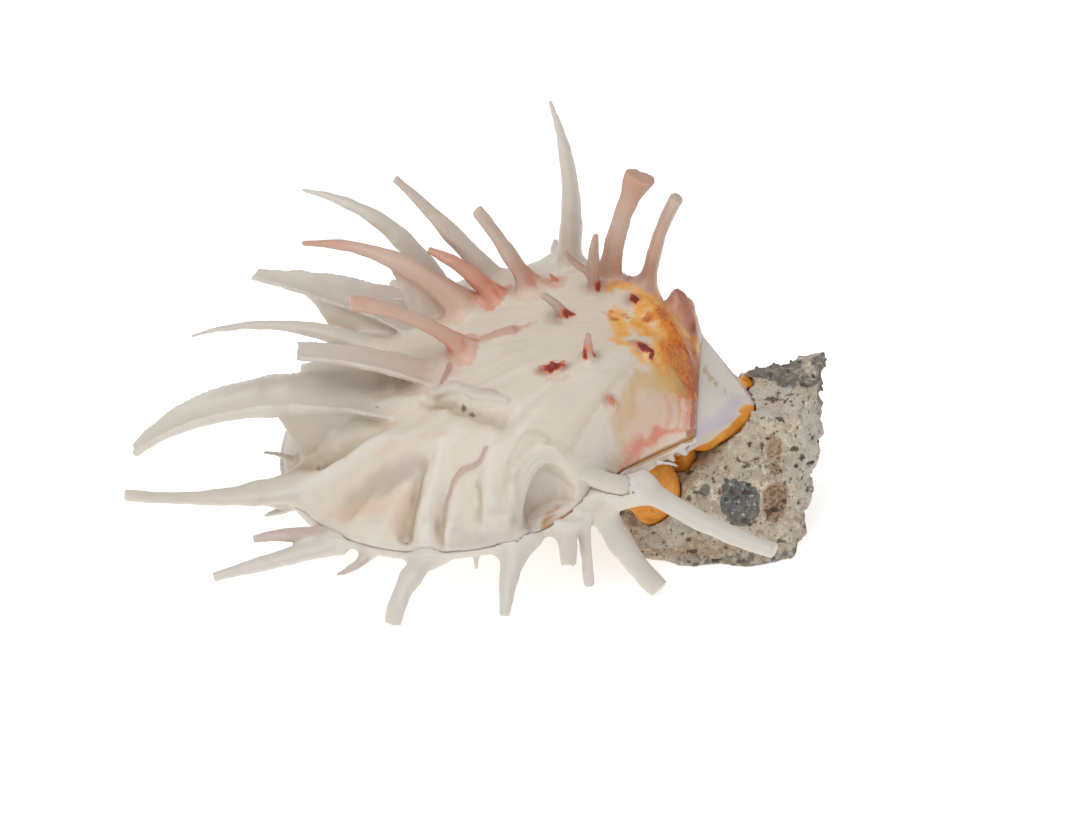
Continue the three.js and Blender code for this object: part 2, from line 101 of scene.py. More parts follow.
def smoothPath(corners, steps):  # a rounded line through all its corners, as a Catmull-Rom curve
    points = np.array(corners, float)
    padded = np.vstack([2 * points[0] - points[1], points, 2 * points[-1] - points[-2]])
    where = np.linspace(0, len(points) - 1, steps)
    cell = np.minimum(where.astype(int), len(points) - 2)
    t = (where - cell)[:, None]
    a, b, c, d = (padded[cell + shift] for shift in range(4))
    start = 2 * b + (c - a) * t + (2 * a - 5 * b + 4 * c - d) * t ** 2
    return 0.5 * (start + (3 * b - a - 3 * c + d) * t ** 3)


# Outline that both valves share
arc = np.radians(np.arange(-shellForm["arcEnd"], shellForm["arcEnd"] + 1, shellForm["arcStep"]))
roundEdge = np.stack([shellForm["radius"] * (1 + np.cos(arc)), shellForm["radius"] * np.sin(arc)], 1)
margin = smoothPath([*shellForm["nearEar"], *roundEdge, *shellForm["farEar"]], shellForm["marginSteps"])
marginAngles = np.arctan2(margin[:, 1], margin[:, 0])
marginReach = np.hypot(margin[:, 0], margin[:, 1])

# Ridges and valleys of the upper valve as lines on it: out and far along each, then its half width and its
# height in mm at both ends
foldLines = [
    {"path": [(48, -27.6), (51.5, -28.6), (58.9, -26), (66, -23.6), (74.3, -24.5), (84.3, -23.1), (91, -22)],
     "width": (2.4, 3.2), "height": (0.5, 2.8)},
    {"path": [(62, -20.6), (69.2, -20), (78, -19.2), (88, -18.6)], "width": (1.4, 2.2), "height": (0, -2.6)},
    {"path": [(57, -30.4), (61.5, -31), (67, -30.6), (73.5, -31)], "width": (2.6, 4.2),
     "height": (-1.5, -2.4)},
    {"path": [(60.2, -32.8), (63.7, -38.2), (68.4, -41)], "width": (1.6, 2), "height": (0.6, 1.3)},
    {"path": [(66, -31.5), (70, -34.4), (75, -37)], "width": (1.4, 1.9), "height": (0.4, 1.1)},
    {"path": [(54.8, -31), (57.2, -36.4), (60.4, -42.6)], "width": (1.7, 2.1), "height": (-1.3, -3)},
    {"path": [(51.7, -30.5), (53.1, -37.5), (56, -44.6)], "width": (1.7, 2.2), "height": (0.8, 2)},
    {"path": [(49.8, -38.6), (51.4, -41.6), (53, -45.4)], "width": (1.1, 1.5), "height": (-0.7, -1.7)},
    {"path": [(46.8, -37.6), (48.2, -41), (49.6, -45.6)], "width": (1.8, 2.4), "height": (0.5, 1.5)},
    {"path": [(42.8, -38), (43.7, -43.2), (44, -46.4)], "width": (1, 1.3), "height": (-0.6, -1.2)},
    {"path": [(39.4, -34), (40.2, -40), (40.4, -46)], "width": (2.4, 3), "height": (0.5, 1.6)},
    {"path": [(56, -16.4), (62, -14.6), (70, -13.6), (77, -13.4)], "width": (2.4, 3.4), "height": (0.4, 2)},
    {"path": [(57, -7.9), (64, -7), (71.3, -8), (80, -9)], "width": (2.2, 3), "height": (-0.6, -2)},
    {"path": [(58, -1.5), (68, -2.6), (78, -3.5)], "width": (1.8, 2.4), "height": (0.4, 1.9)},
    {"path": [(62, 3.5), (74, 4), (88, 3.5)], "width": (1.8, 2.8), "height": (-0.5, -2.2)},
    {"path": [(55.5, -16.6), (49.5, -20.4), (44, -24.6), (38, -28)], "width": (1.6, 2),
     "height": (-1.2, -1.6)},
    {"path": [(36.5, -22), (43, -19.5), (49.5, -14.5)], "width": (3, 2.6), "height": (0.5, 0.9)},
    {"path": [(33, -31), (28, -27), (22, -20)], "width": (3, 4), "height": (0.9, 0)},
]
# The hidden far side has the same kind of folds, on rays from the hinge
farFolds = {"angles": (9, 14, 20, 26, 33, 40, 48, 56), "start": 0.5, "end": 0.97, "width": (1.6, 3.2),
            "height": 1.9}
for index, degrees in enumerate(farFolds["angles"]):
    ray = np.array([math.cos(math.radians(degrees)), math.sin(math.radians(degrees))])
    reach = np.interp(math.radians(degrees), marginAngles, marginReach)
    foldLines.append({"path": [ray * reach * farFolds["start"], ray * reach * farFolds["end"]],
                      "width": farFolds["width"], "height": (0, farFolds["height"] * (-1) ** index)})
# Hollow under the arched fold on the near side
hollow = {"out": 29, "far": -42.8, "length": 8.4, "width": 10, "left": 0.05, "rimStart": 0.66, "rimEnd": 1.02}
# Fine relief of the walls: heights, widths and lengths in mm, the share of the way from the hinge where each
# starts, and its seed. The ray pitch is mm for each degree, and the growth turn is in degrees.
relief = {
    "strokeSteps": 16, "foldHeight": 2.2, "wander": 0.8, "wanderSize": 5, "wanderSeeds": (91, 92),
    "rayPitch": 0.8, "ribHeight": 0.26, "ribWidth": 2.1, "ribLength": 40, "ribStart": (0.15, 0.6),
    "ribSeed": 3, "growthHeight": 0.12, "growthWidth": 2.6, "growthTurn": 50, "growthSeed": 5,
    "swell": 0.35, "swellSize": 9, "swellStart": (0.2, 0.5), "swellSeed": 8,
    "umboHeight": 0.3, "umboSize": 1.7, "umboOut": (18, 8), "umboSeed": 11, "inside": 3,
    "bowlRib": 0.35, "bowlRibWidth": 4.5, "bowlRibLength": 30, "bowlRibSeed": 21,
    "bowlSwell": 0.4, "bowlSwellSize": 8, "bowlSwellSeed": 22, "bowlStart": 6,
    "hingeRib": 0.07, "hingeRibWidth": 0.8, "hingeRibLength": 9, "hingeRibSeed": 41,
}


def reachAt(angle):
    return np.interp(angle, marginAngles, marginReach)


def fromStroke(out, far, path):  # distance in mm from a line drawn on the shell, and how far along it that is
    line = smoothPath(path, relief["strokeSteps"])
    nearest = np.full(np.shape(out), 1e3)
    along = np.zeros(np.shape(out))
    for index, (start, end) in enumerate(zip(line[:-1], line[1:])):
        step = end - start
        part = ((out - start[0]) * step[0] + (far - start[1]) * step[1]) / (step @ step)
        part = np.clip(part, 0, 1)
        distance = np.hypot(out - start[0] - part * step[0], far - start[1] - part * step[1])
        along = np.where(distance < nearest, (index + part) / (len(line) - 1), along)
        nearest = np.minimum(nearest, distance)
    return nearest, along


def lineRelief(out, far):  # height in mm that the ridges and valleys add
    total = 0
    spot = np.stack([out, far], -1)
    outSeed, farSeed = relief["wanderSeeds"]
    out = out + relief["wander"] * lumps(spot, relief["wanderSize"], outSeed)
    far = far + relief["wander"] * lumps(spot, relief["wanderSize"], farSeed)
    for line in foldLines:
        distance, along = fromStroke(out, far, line["path"])
        width, height = (line[key][0] + (line[key][1] - line[key][0]) * along for key in ("width", "height"))
        total = total + height * np.exp(-(distance / width) ** 2)
    return total


def domeHeight(out, far):  # outer face of the upper valve, above the seam
    form = shellForm
    angle = np.arctan2(far, out)
    degrees = np.degrees(angle)
    distance = np.hypot(out, far)
    share = distance / reachAt(angle)
    summit = (form["umboRise"] / (form["umboRise"] + form["edgeFall"])) ** (1 / form["edgeFall"])
    profile = share ** form["umboRise"] * (1 - share ** form["edgeFall"])
    profile /= summit ** form["umboRise"] * (1 - summit ** form["edgeFall"])
    earAngle = np.where(far < 0, form["nearEarAngle"], form["farEarAngle"])
    earShare = 1 / (1 + (np.abs(degrees) / earAngle) ** form["earFall"])
    height = form["domeHeight"] * profile * (form["earHeight"] + (1 - form["earHeight"]) * earShare)
    fromHollow = np.hypot((out - hollow["out"]) / hollow["length"], (far - hollow["far"]) / hollow["width"])
    hollowed = hollow["left"] + (1 - hollow["left"]) * ramp(fromHollow, hollow["rimStart"], hollow["rimEnd"])
    inside = ramp(height, 0, relief["inside"])
    height = np.where(height > 0, (height + inside * lineRelief(out, far)) * hollowed, height)
    acrossRays = degrees * relief["rayPitch"] / relief["ribWidth"]
    ribs = lumps(np.stack([acrossRays, distance / relief["ribLength"]], -1), 1, relief["ribSeed"])
    rings = share * form["radius"] * 2 / relief["growthWidth"]
    growth = lumps(np.stack([rings, degrees / relief["growthTurn"]], -1), 1, relief["growthSeed"])
    spot = np.stack([out, far], -1)
    swell = lumps(spot, relief["swellSize"], relief["swellSeed"])
    bumps = lumps(spot, relief["umboSize"], relief["umboSeed"])
    height = height + inside * (
        relief["ribHeight"] * ribs * ramp(share, *relief["ribStart"]) + relief["growthHeight"] * growth
        + relief["swell"] * swell * ramp(share, *relief["swellStart"])
        + relief["umboHeight"] * np.maximum(bumps, 0) * ramp(out, *relief["umboOut"]))
    height = height + form["edgeThickness"]
    return np.where(out < 0, np.minimum(height, form["backFall"] * out), height)


def bowlHeight(out, far):  # outer face of the lower valve, below the seam
    form = shellForm
    inwards = np.maximum(0, form["radius"] * form["lowerOverhang"] - np.hypot(out - form["radius"], far))
    fall = (form["bowlSlope"] * inwards / form["bowlDepth"]) ** form["bowlRoundness"]
    degrees = np.degrees(np.arctan2(far, out - form["radius"]))
    rays = np.stack([degrees / relief["bowlRibWidth"], inwards / relief["bowlRibLength"]], -1)
    ribs = lumps(rays, 1, relief["bowlRibSeed"]) * relief["bowlRib"]
    spot = np.stack([out, far], -1)
    swell = lumps(spot, relief["bowlSwellSize"], relief["bowlSwellSeed"]) * relief["bowlSwell"]
    fine = (ribs + swell) * ramp(inwards, 0, relief["bowlStart"])
    return -form["rimBand"] - form["bowlDepth"] * (1 - np.exp(-fall)) + fine


# Spines of the upper valve. Heading 0 points to the free edge and positive to the far side, lift is the rise
# in degrees, bow is how far the middle stands off the straight line, and widths run from root to tip at the
# stations. Raised and sunk move the root out of or into the valve. Flat is the wall's share of the width,
# wall is that of a gutter in mm, and bend is half its curl. Pink is how far the colour goes from white to
# pink, warm turns the pink to salmon, red and orange are the patches at the root, and ragged is how far a
# broken tip reaches out.
upperSpines = [
    {"root": (26.5, 24), "heading": 5, "lift": 98, "length": 42.4, "bow": 2.7, "widths": (8, 7, 4.5, 0.8),
     "pink": (0.15, 0.03, 0)},
    {"root": (16, 16), "heading": 0, "lift": 116, "length": 26.5, "bow": -1.2, "roll": 90, "flat": 0.6,
     "widths": (5.6, 4.2, 4.4, 7.6), "stations": (0, 0.35, 0.8, 1), "pink": (1, 0.5, 0.8), "warm": 0.5,
     "ragged": 1},
    {"root": (8.5, 15), "heading": 0, "lift": 116, "length": 24.8, "bow": -1, "widths": (8, 4.2, 3.8, 3.8),
     "pink": (1.2, 0.7, 0.6), "warm": 0.3, "ragged": 0.7},
    {"root": (19, 11), "heading": 25, "lift": 104, "length": 15, "bow": -0.5, "widths": (4.6, 3.6, 3.4, 1.6),
     "pink": (1, 0.9, 0.75), "red": 1, "ragged": 1.4},
    {"root": (19.4, 11), "heading": 5, "lift": 54, "length": 7, "raised": 5.2, "bow": -0.5,
     "widths": (2.6, 2.2, 1.8, 1.5), "pink": 0.85},
    {"root": (25, 2.5), "heading": 5, "lift": 60, "length": 7.5, "bow": 0.5, "widths": (4.4, 2.8, 2.3, 1.9),
     "pink": (1.1, 0.8, 0.7), "red": 1, "ragged": 0.4},
    {"root": (19, -14), "heading": -36, "lift": 106, "length": 5.8, "widths": (4.4, 2.9, 2.4, 0.9),
     "pink": (1.1, 0.9, 0.8), "red": 1},
    {"root": (26, -17), "heading": -60, "lift": 84, "length": 2.4, "widths": (5, 3.2, 1.8, 0.8), "pink": 1.2,
     "red": 0.9, "warm": 0.5},
    {"root": (26.6, -17), "heading": 8, "lift": 22, "length": 3, "widths": (2.8, 2, 1.3, 0.6), "pink": 1.2,
     "red": 1.1},
    {"root": (25.4, -17), "heading": 160, "lift": 40, "length": 2.6, "widths": (2.6, 1.8, 1.2, 0.6),
     "pink": 1.2, "red": 1.1},
    {"root": (15, -21.7), "heading": -50, "lift": 80, "length": 1, "widths": (2.6, 2, 1.6, 1), "pink": 0.8,
     "orange": 1},
    {"root": (10.4, 7.5), "heading": 10, "lift": 72, "length": 2.2, "widths": (3, 2.2, 1.5, 0.7), "pink": 1.2,
     "red": 1.2},
    {"root": (7.8, 12), "heading": 10, "lift": 72, "length": 1.3, "widths": (1.8, 1.4, 1, 0.6), "pink": 1,
     "red": 1.1},
    {"root": (11.7, 15), "heading": 10, "lift": 90, "length": 1.5, "widths": (1.6, 1.3, 1, 0.6), "pink": 1,
     "red": 1},
    {"root": (7.8, -8.4), "heading": 30, "lift": 30, "length": 2.8, "widths": (3.4, 2.2, 1.4, 0.6), "pink": 1,
     "red": 1.2},
    {"root": (27.9, 15.1), "heading": 10, "lift": 70, "length": 2.6, "widths": (2.8, 1.9, 1.2, 0.6),
     "pink": 1, "warm": 0.6, "red": 0.35},
    {"root": (33.5, 14.5), "heading": 23, "lift": 67, "length": 21.5, "bow": 0.5,
     "widths": (7.5, 4.6, 3.6, 3.2), "pink": (0.8, 0.45, 0.4), "orange": 0.8, "warm": 0.5, "ragged": 0.4},
    {"root": (41.5, 13.5), "heading": 20, "lift": 41, "length": 18, "bow": 1.4,
     "widths": (6.5, 4.2, 3.4, 1.8), "pink": (1.1, 0.8, 0.7), "orange": 1, "warm": 0.9, "ragged": 0.4},
    {"root": (43, 22), "heading": 15, "lift": 59, "length": 32.5, "bow": 0.8,
     "widths": (8, 5.8, 4.4, 5.2, 3.4, 1.9), "stations": (0, 0.2, 0.44, 0.52, 0.6, 1),
     "pink": (0.15, 0.2, 0.4), "warm": 0.4},
    {"root": (57, 25), "heading": 15, "lift": 49, "length": 39.5, "bow": 7.4, "widths": (9, 6.4, 4, 0.8),
     "pink": 0.03},
    {"root": (49, 12.5), "heading": 16, "lift": 26, "length": 39, "bow": 5.8, "widths": (9, 6, 3.8, 1.2),
     "pink": (0.5, 0.35, 0.75), "orange": 0.25, "warm": 0.8, "web": {"to": 0.5, "foot": (61, 13.5)}},
    {"root": (60, 15.5), "raised": 5.5, "heading": 4, "lift": 8, "length": 6, "bow": 0.6,
     "widths": (2.2, 1.5, 1, 0.5), "pink": 0.15},
    {"root": (61, 16), "sunk": 6, "heading": 15, "lift": 19, "length": 39, "bow": 1.6,
     "widths": (15, 12, 8.6, 3.8), "wall": 1.6, "bend": 62, "pink": (0.1, 0.15, 0), "ragged": 0.5,
     "web": {"to": 0.66, "foot": (76, 10.5), "side": 0.5, "thickness": 2}},
    {"root": (70, 9), "heading": 8, "lift": 9, "length": 43.5, "bow": 5, "widths": (7, 4, 5, 3.6, 2.4, 0.8),
     "stations": (0, 0.2, 0.28, 0.36, 0.6, 1), "pink": (0.12, 0.15, 0.05)},
    {"root": (47, -4.5), "heading": -5, "lift": 41, "length": 27, "bow": 2.4, "widths": (8, 4.4, 3.8, 4.2),
     "pink": (0.7, 0.45, 0.5), "orange": 1, "warm": 0.9, "ragged": 0.5},
    {"root": (56, -9), "sunk": 6, "heading": -7, "lift": 29, "length": 27.5, "bow": 1.5,
     "widths": (12, 8, 6.6, 6.2), "wall": 1.7, "bend": 60, "pink": (0.2, 0.08, 0.08), "orange": 0.1,
     "warm": 0.9, "ragged": 1},
    {"root": (66, -4), "heading": -6, "lift": 21, "length": 18, "bow": 1, "widths": (8, 6, 5, 3),
     "pink": 0.03, "ragged": 0.6},
    {"root": (70, -12), "sunk": 6, "heading": -9, "lift": 3, "length": 51, "bow": 7, "middle": 0.62,
     "widths": (16, 12, 10, 4), "wall": 2, "bend": 84, "pink": 0.02, "web": {"to": 0.36, "foot": (85, -14),
     "thickness": 3}},
    {"root": (84, -20), "heading": -14, "lift": 15, "length": 40.5, "bow": -2.3,
     "widths": (13, 8.6, 3.8, 3.2), "pink": 0.02, "flat": 0.6, "web": {"to": 0.42, "foot": (88.5, -25)}},
    {"root": (90, -11), "heading": -12, "lift": 38, "length": 7, "bow": 0.6, "widths": (2.8, 1.8, 1.2, 0.7),
     "pink": 0.15},
    {"root": (31, 36), "heading": 80, "lift": -14, "length": 14, "bow": -0.6, "widths": (6, 4, 3, 1.4),
     "pink": 0.3},
    {"root": (46, 39), "heading": 66, "lift": -12, "length": 18, "bow": -1, "widths": (7, 4.6, 3.4, 1),
     "pink": 0.2},
    {"root": (62, 34), "heading": 50, "lift": -8, "length": 18, "bow": -1, "widths": (7, 4.6, 3.4, 2),
     "pink": 0.2},
    # Ridges that lie on the valve: scars of broken spines, a ledge, and the lip of the arched fold
    {"path": [(36.5, -0.5), (42, -1.8), (46.9, -4.4)], "sunk": 0.3, "widths": (2.8, 2.2, 1.6, 1.0),
     "pink": 0.7, "orange": 0.5, "warm": 0.6},
    {"path": [(49.5, -6.5), (50, -10), (50.7, -14.4)], "sunk": 0.4, "widths": (1.2, 1.3, 1.5, 1.3),
     "pink": 0.9},
    {"path": [(40.8, -33.4), (42.2, -35.2), (45.7, -36), (47.9, -37.4), (49.9, -39.8)], "sunk": 0.05,
     "widths": (0.5, 0.7, 0.9, 0.6), "pink": 0.75},
    {"path": [(54.4, -15.4), (52.2, -16.1), (48.3, -16.6), (45, -19.2), (42.3, -21.4), (38.6, -23.1),
     (35.6, -24.6)], "sunk": -0.4, "widths": (0.9, 2.2, 2.3, 0.8), "pink": 0.2},
    {"path": [(59.5, -9.6), (56.2, -11.8), (54, -12.6)], "sunk": 0.2, "widths": (0.8, 0.9, 0.9, 0.8),
     "pink": 0.9},
    {"path": [(42.6, -20.5), (40.2, -20.6), (38.2, -22.4)], "sunk": 0, "widths": (0.8, 1.2, 1.0, 0.7),
     "pink": 0.5},
    {"path": [(37.4, -45.8, 0.4), (35.7, -41.8, 5.2), (33.4, -38.2, 9.4), (30.7, -35.5, 11.5),
     (27.8, -34.2, 11.4), (25, -33.4, 8.6), (22, -33.3, 5.6), (18.4, -33.2, 2.8), (14.6, -32.7, 0),
     (11.4, -32, -3)], "widths": (2.8, 2.4, 3.4, 7)},
]
# Spines of the lower valve, some of which come down close to the ground on either side
lowerSpines = [
    {"root": (78, -37), "heading": -18, "lift": 4, "length": 26.5, "widths": (6.5, 5, 4, 2.4)},
    {"root": (80, -34), "heading": -18, "lift": 20, "length": 16, "bow": 0.9, "widths": (4, 4, 3.4, 2),
     "pink": 0.5},
    {"root": (70, -41), "heading": -50, "lift": 3, "length": 9, "bow": -0.9, "widths": (4, 2.6, 2, 0.8),
     "pink": 0.4},
    {"root": (56.5, -45.5), "heading": -58, "lift": -22, "length": 16, "bow": 2.2,
     "widths": (8, 5.4, 4.4, 3.8)},
    {"root": (37.5, -45.5), "heading": -78, "lift": -26, "length": 15.5, "bow": 1, "widths": (10, 6, 4, 2.4)},
    {"root": (46, -46.5), "heading": -80, "lift": -60, "length": 3, "widths": (2, 1.6, 1.2, 0.8)},
    {"root": (27, -42), "heading": -85, "lift": -50, "length": 7, "widths": (5.5, 4.6, 4, 3.2), "pink": 0.2,
     "ragged": 1},
    {"root": (23.5, -39), "heading": -80, "lift": -62, "length": 14, "bow": 0.6,
     "widths": (3.4, 2.6, 2.5, 2.3), "pink": 0.2, "ragged": 0.4},
    {"root": (20, -33.4), "heading": -140, "lift": -60, "length": 22, "bow": -2.6,
     "widths": (8.5, 6.2, 5.6, 4.4)},
    {"root": (11, -31.5), "heading": -157, "lift": -25, "length": 30.5, "bow": -1.6,
     "widths": (7, 4.9, 4.4, 3.8), "ragged": 0.5},
    {"root": (7.2, -24.6), "heading": -170, "lift": -22, "length": 4.5, "bow": 0.8,
     "widths": (1.4, 0.9, 0.8, 0.6)},
    {"root": (4.2, -19.6), "heading": -150, "lift": -40, "length": 2.6, "widths": (2.6, 2.2, 1.8, 1.2)},
    {"root": (6, -21.6), "heading": -150, "lift": -50, "length": 1.8, "widths": (2, 1.6, 1.2, 0.8)},
    {"root": (88, -20), "heading": -14, "lift": -6, "length": 9, "widths": (4, 3, 2, 0.8)},
    {"root": (88, 20), "heading": 24, "lift": -26, "length": 16, "bow": -1, "widths": (6, 4, 3, 1.4)},
    {"root": (75, 36), "heading": 44, "lift": -24, "length": 19, "bow": -1.5, "widths": (7, 4.6, 3.4, 2)},
    {"root": (57, 42), "heading": 66, "lift": -34, "length": 21, "bow": -2, "widths": (7, 4.6, 3.4, 2.4)},
    {"root": (38, 42), "heading": 88, "lift": -30, "length": 18, "bow": -1, "widths": (6, 4, 3, 1.2)},
    {"root": (24, 38), "heading": 112, "lift": -34, "length": 15, "widths": (6, 4, 3, 2)},
    {"root": (46, 27), "heading": 84, "lift": -66, "length": 20.6, "bow": -0.8, "widths": (7, 4.6, 3.8, 3)},
    {"root": (66, 20), "heading": 40, "lift": -68, "length": 13.3, "bow": -0.6, "widths": (6, 4.4, 3.6, 2.8)},
    {"root": (62, -24), "heading": -40, "lift": -62, "length": 5, "widths": (6, 4, 3, 1.6)},
]
spineMake = {"rootSink": 1.5, "flat": 0.75, "bend": 16, "middle": 0.5, "steps": 40, "sides": 24,
             "roughness": 0.36, "roughSize": 4.0, "seed": 4, "fillet": 3.0, "gutterFillet": 1.2,
             "hoodFillet": 4.5, "uneven": 0.08, "unevenSize": 3.5, "unevenSeed": 71, "raggedSize": 1.1,
             "raggedSeed": 72, "webThickness": 1.1, "webMiddle": 0.6, "rootCurl": 0.3, "curlBy": 0.3,
             "uncurl": 0.4, "thickest": 0.8, "stations": (0, 0.2, 0.6, 1), "smoothing": 5, "flare": 0.36,
             "lowerFlare": 0.5}
# What the sweep reads at each step of a spine's middle line
railKinds = {"halfWall": "FLOAT", "bend": "FLOAT", "arcRadius": "FLOAT", "middle": "FLOAT",
             "across": "FLOAT_VECTOR", "thin": "FLOAT_VECTOR"}


def spinePath(spine, heightAt):  # middle line of a spine or ridge, in shell millimetres
    if "path" in spine:
        line = smoothPath(spine["path"], spineMake["steps"])
        if line.shape[1] == 3:
            return line * (-1, 1, 1)
        return np.column_stack([-line[:, 0], line[:, 1], heightAt(line[:, 0], line[:, 1]) - spine["sunk"]])
    heading, lift = math.radians(spine["heading"]), math.radians(spine["lift"])
    away = np.array([-math.cos(heading), math.sin(heading), 0])
    upwards = np.array([0, 0, 1.0])
    chord = away * math.cos(lift) + upwards * math.sin(lift)
    aside = -away * math.sin(lift) + upwards * math.cos(lift)
    out, far = spine["root"]
    rise = float(heightAt(np.array([float(out)]), np.array([float(far)]))[0])
    root = np.array([-out, far, rise + spine.get("raised", 0)])
    start = root - chord * spine.get("sunk", spineMake["rootSink"])
    knee = root + chord * spine["length"] * spine.get("middle", spineMake["middle"])
    knee = knee + aside * 2 * spine.get("bow", 0)
    t = np.linspace(0, 1, spineMake["steps"])[:, None]
    return (1 - t) ** 2 * start + 2 * (1 - t) * t * knee + t ** 2 * (root + chord * spine["length"])


def spineRails(spines, heightAt):  # what the sweep needs at every step along every spine
    share = np.linspace(0, 1, spineMake["steps"])
    rails = []
    for spine in spines:
        path = spinePath(spine, heightAt)
        tangent = np.gradient(path, axis=0)
        tangent /= np.linalg.norm(tangent, axis=1)[:, None]
        heading = math.radians(spine.get("heading", 0))
        away = tangent if "path" in spine else [[-math.cos(heading), math.sin(heading), 0]]
        across = np.cross([0, 0, 1.0], away) + np.zeros_like(path)
        across /= np.linalg.norm(across, axis=1)[:, None]
        roll = math.radians(spine.get("roll", 0))
        across = across * math.cos(roll) + np.cross(tangent, across) * math.sin(roll)
        width = np.interp(share, spine.get("stations", spineMake["stations"]), spine["widths"])
        window = spineMake["smoothing"]
        width = np.convolve(np.pad(width, window // 2, "edge"), np.ones(window) / window, "valid")
        along = share * np.linalg.norm(path[-1] - path[0]) / spineMake["unevenSize"]
        spot = np.column_stack([along, np.full_like(along, len(rails))])
        width = width * (1 + spineMake["uneven"] * lumps(spot, 1, spineMake["unevenSeed"]))
        wall = width * spine.get("flat", spineMake["flat"])
        bend = np.radians(spine.get("bend", spineMake["bend"])) * (1 - spineMake["uncurl"] * share ** 3)
        if "wall" in spine:
            wall = np.minimum(width * spineMake["thickest"], spine["wall"])
            opened = ramp(share, 0, spineMake["curlBy"])
            bend = bend * (spineMake["rootCurl"] + (1 - spineMake["rootCurl"]) * opened)
        curl = np.minimum(bend, math.pi / 2)
        radius = width / 2 / np.sin(curl)
        rails.append({"spine": spine, "path": path, "across": across, "thin": np.cross(tangent, across),
                      "width": width, "halfWall": wall / 2, "bend": bend, "arcRadius": radius,
                      "middle": radius * (1 + np.cos(curl)) / 2})
    return rails


def addNode(tree, kind, links=None, **settings):  # a node, its settings, and what goes into its inputs
    node = tree.nodes.new(kind)
    for key, value in settings.items():
        setattr(node, key, value)
    for key, value in (links or {}).items():
        if isinstance(value, bpy.types.NodeSocket):
            tree.links.new(value, node.inputs[key])
        else:
            node.inputs[key].default_value = value
    return node


def newTree(name, inputs):  # a Geometry Nodes tree with named inputs, and its two end nodes
    tree = bpy.data.node_groups.new(name, "GeometryNodeTree")
    tree.interface.new_socket(name="Geometry", in_out="INPUT", socket_type="NodeSocketGeometry")
    tree.interface.new_socket(name="Geometry", in_out="OUTPUT", socket_type="NodeSocketGeometry")
    for label, kind in inputs:
        tree.interface.new_socket(name=label, in_out="INPUT", socket_type="NodeSocket" + kind)
    return tree, addNode(tree, "NodeGroupInput").outputs, addNode(tree, "NodeGroupOutput").inputs


def linked(name, data):  # a new object in the scene
    made = bpy.data.objects.new(name, data)
    bpy.context.scene.collection.objects.link(made)
    return made


def grown(mesh, tree, values):  # the plain mesh that a tree makes from a host mesh
    host = linked(mesh.name, mesh)
    modifier = host.modifiers.new(tree.name, "NODES")
    modifier.node_group = tree
    for item in tree.interface.items_tree:
        if item.in_out == "INPUT" and item.name in values:
            modifier[item.identifier] = values[item.name]
    made = bpy.data.meshes.new_from_object(host.evaluated_get(bpy.context.evaluated_depsgraph_get()))
    host.modifiers.remove(modifier)
    bpy.data.objects.remove(host)
    return made


def finishTree(tree, geometry, given, result):  # makes instances real and gives all of it the material
    real = addNode(tree, "GeometryNodeRealizeInstances", {"Geometry": geometry})
    finished = addNode(tree, "GeometryNodeSetMaterial", {
        "Geometry": real.outputs["Geometry"], "Material": given["Material"]})
    tree.links.new(finished.outputs["Geometry"], result["Geometry"])
    return tree


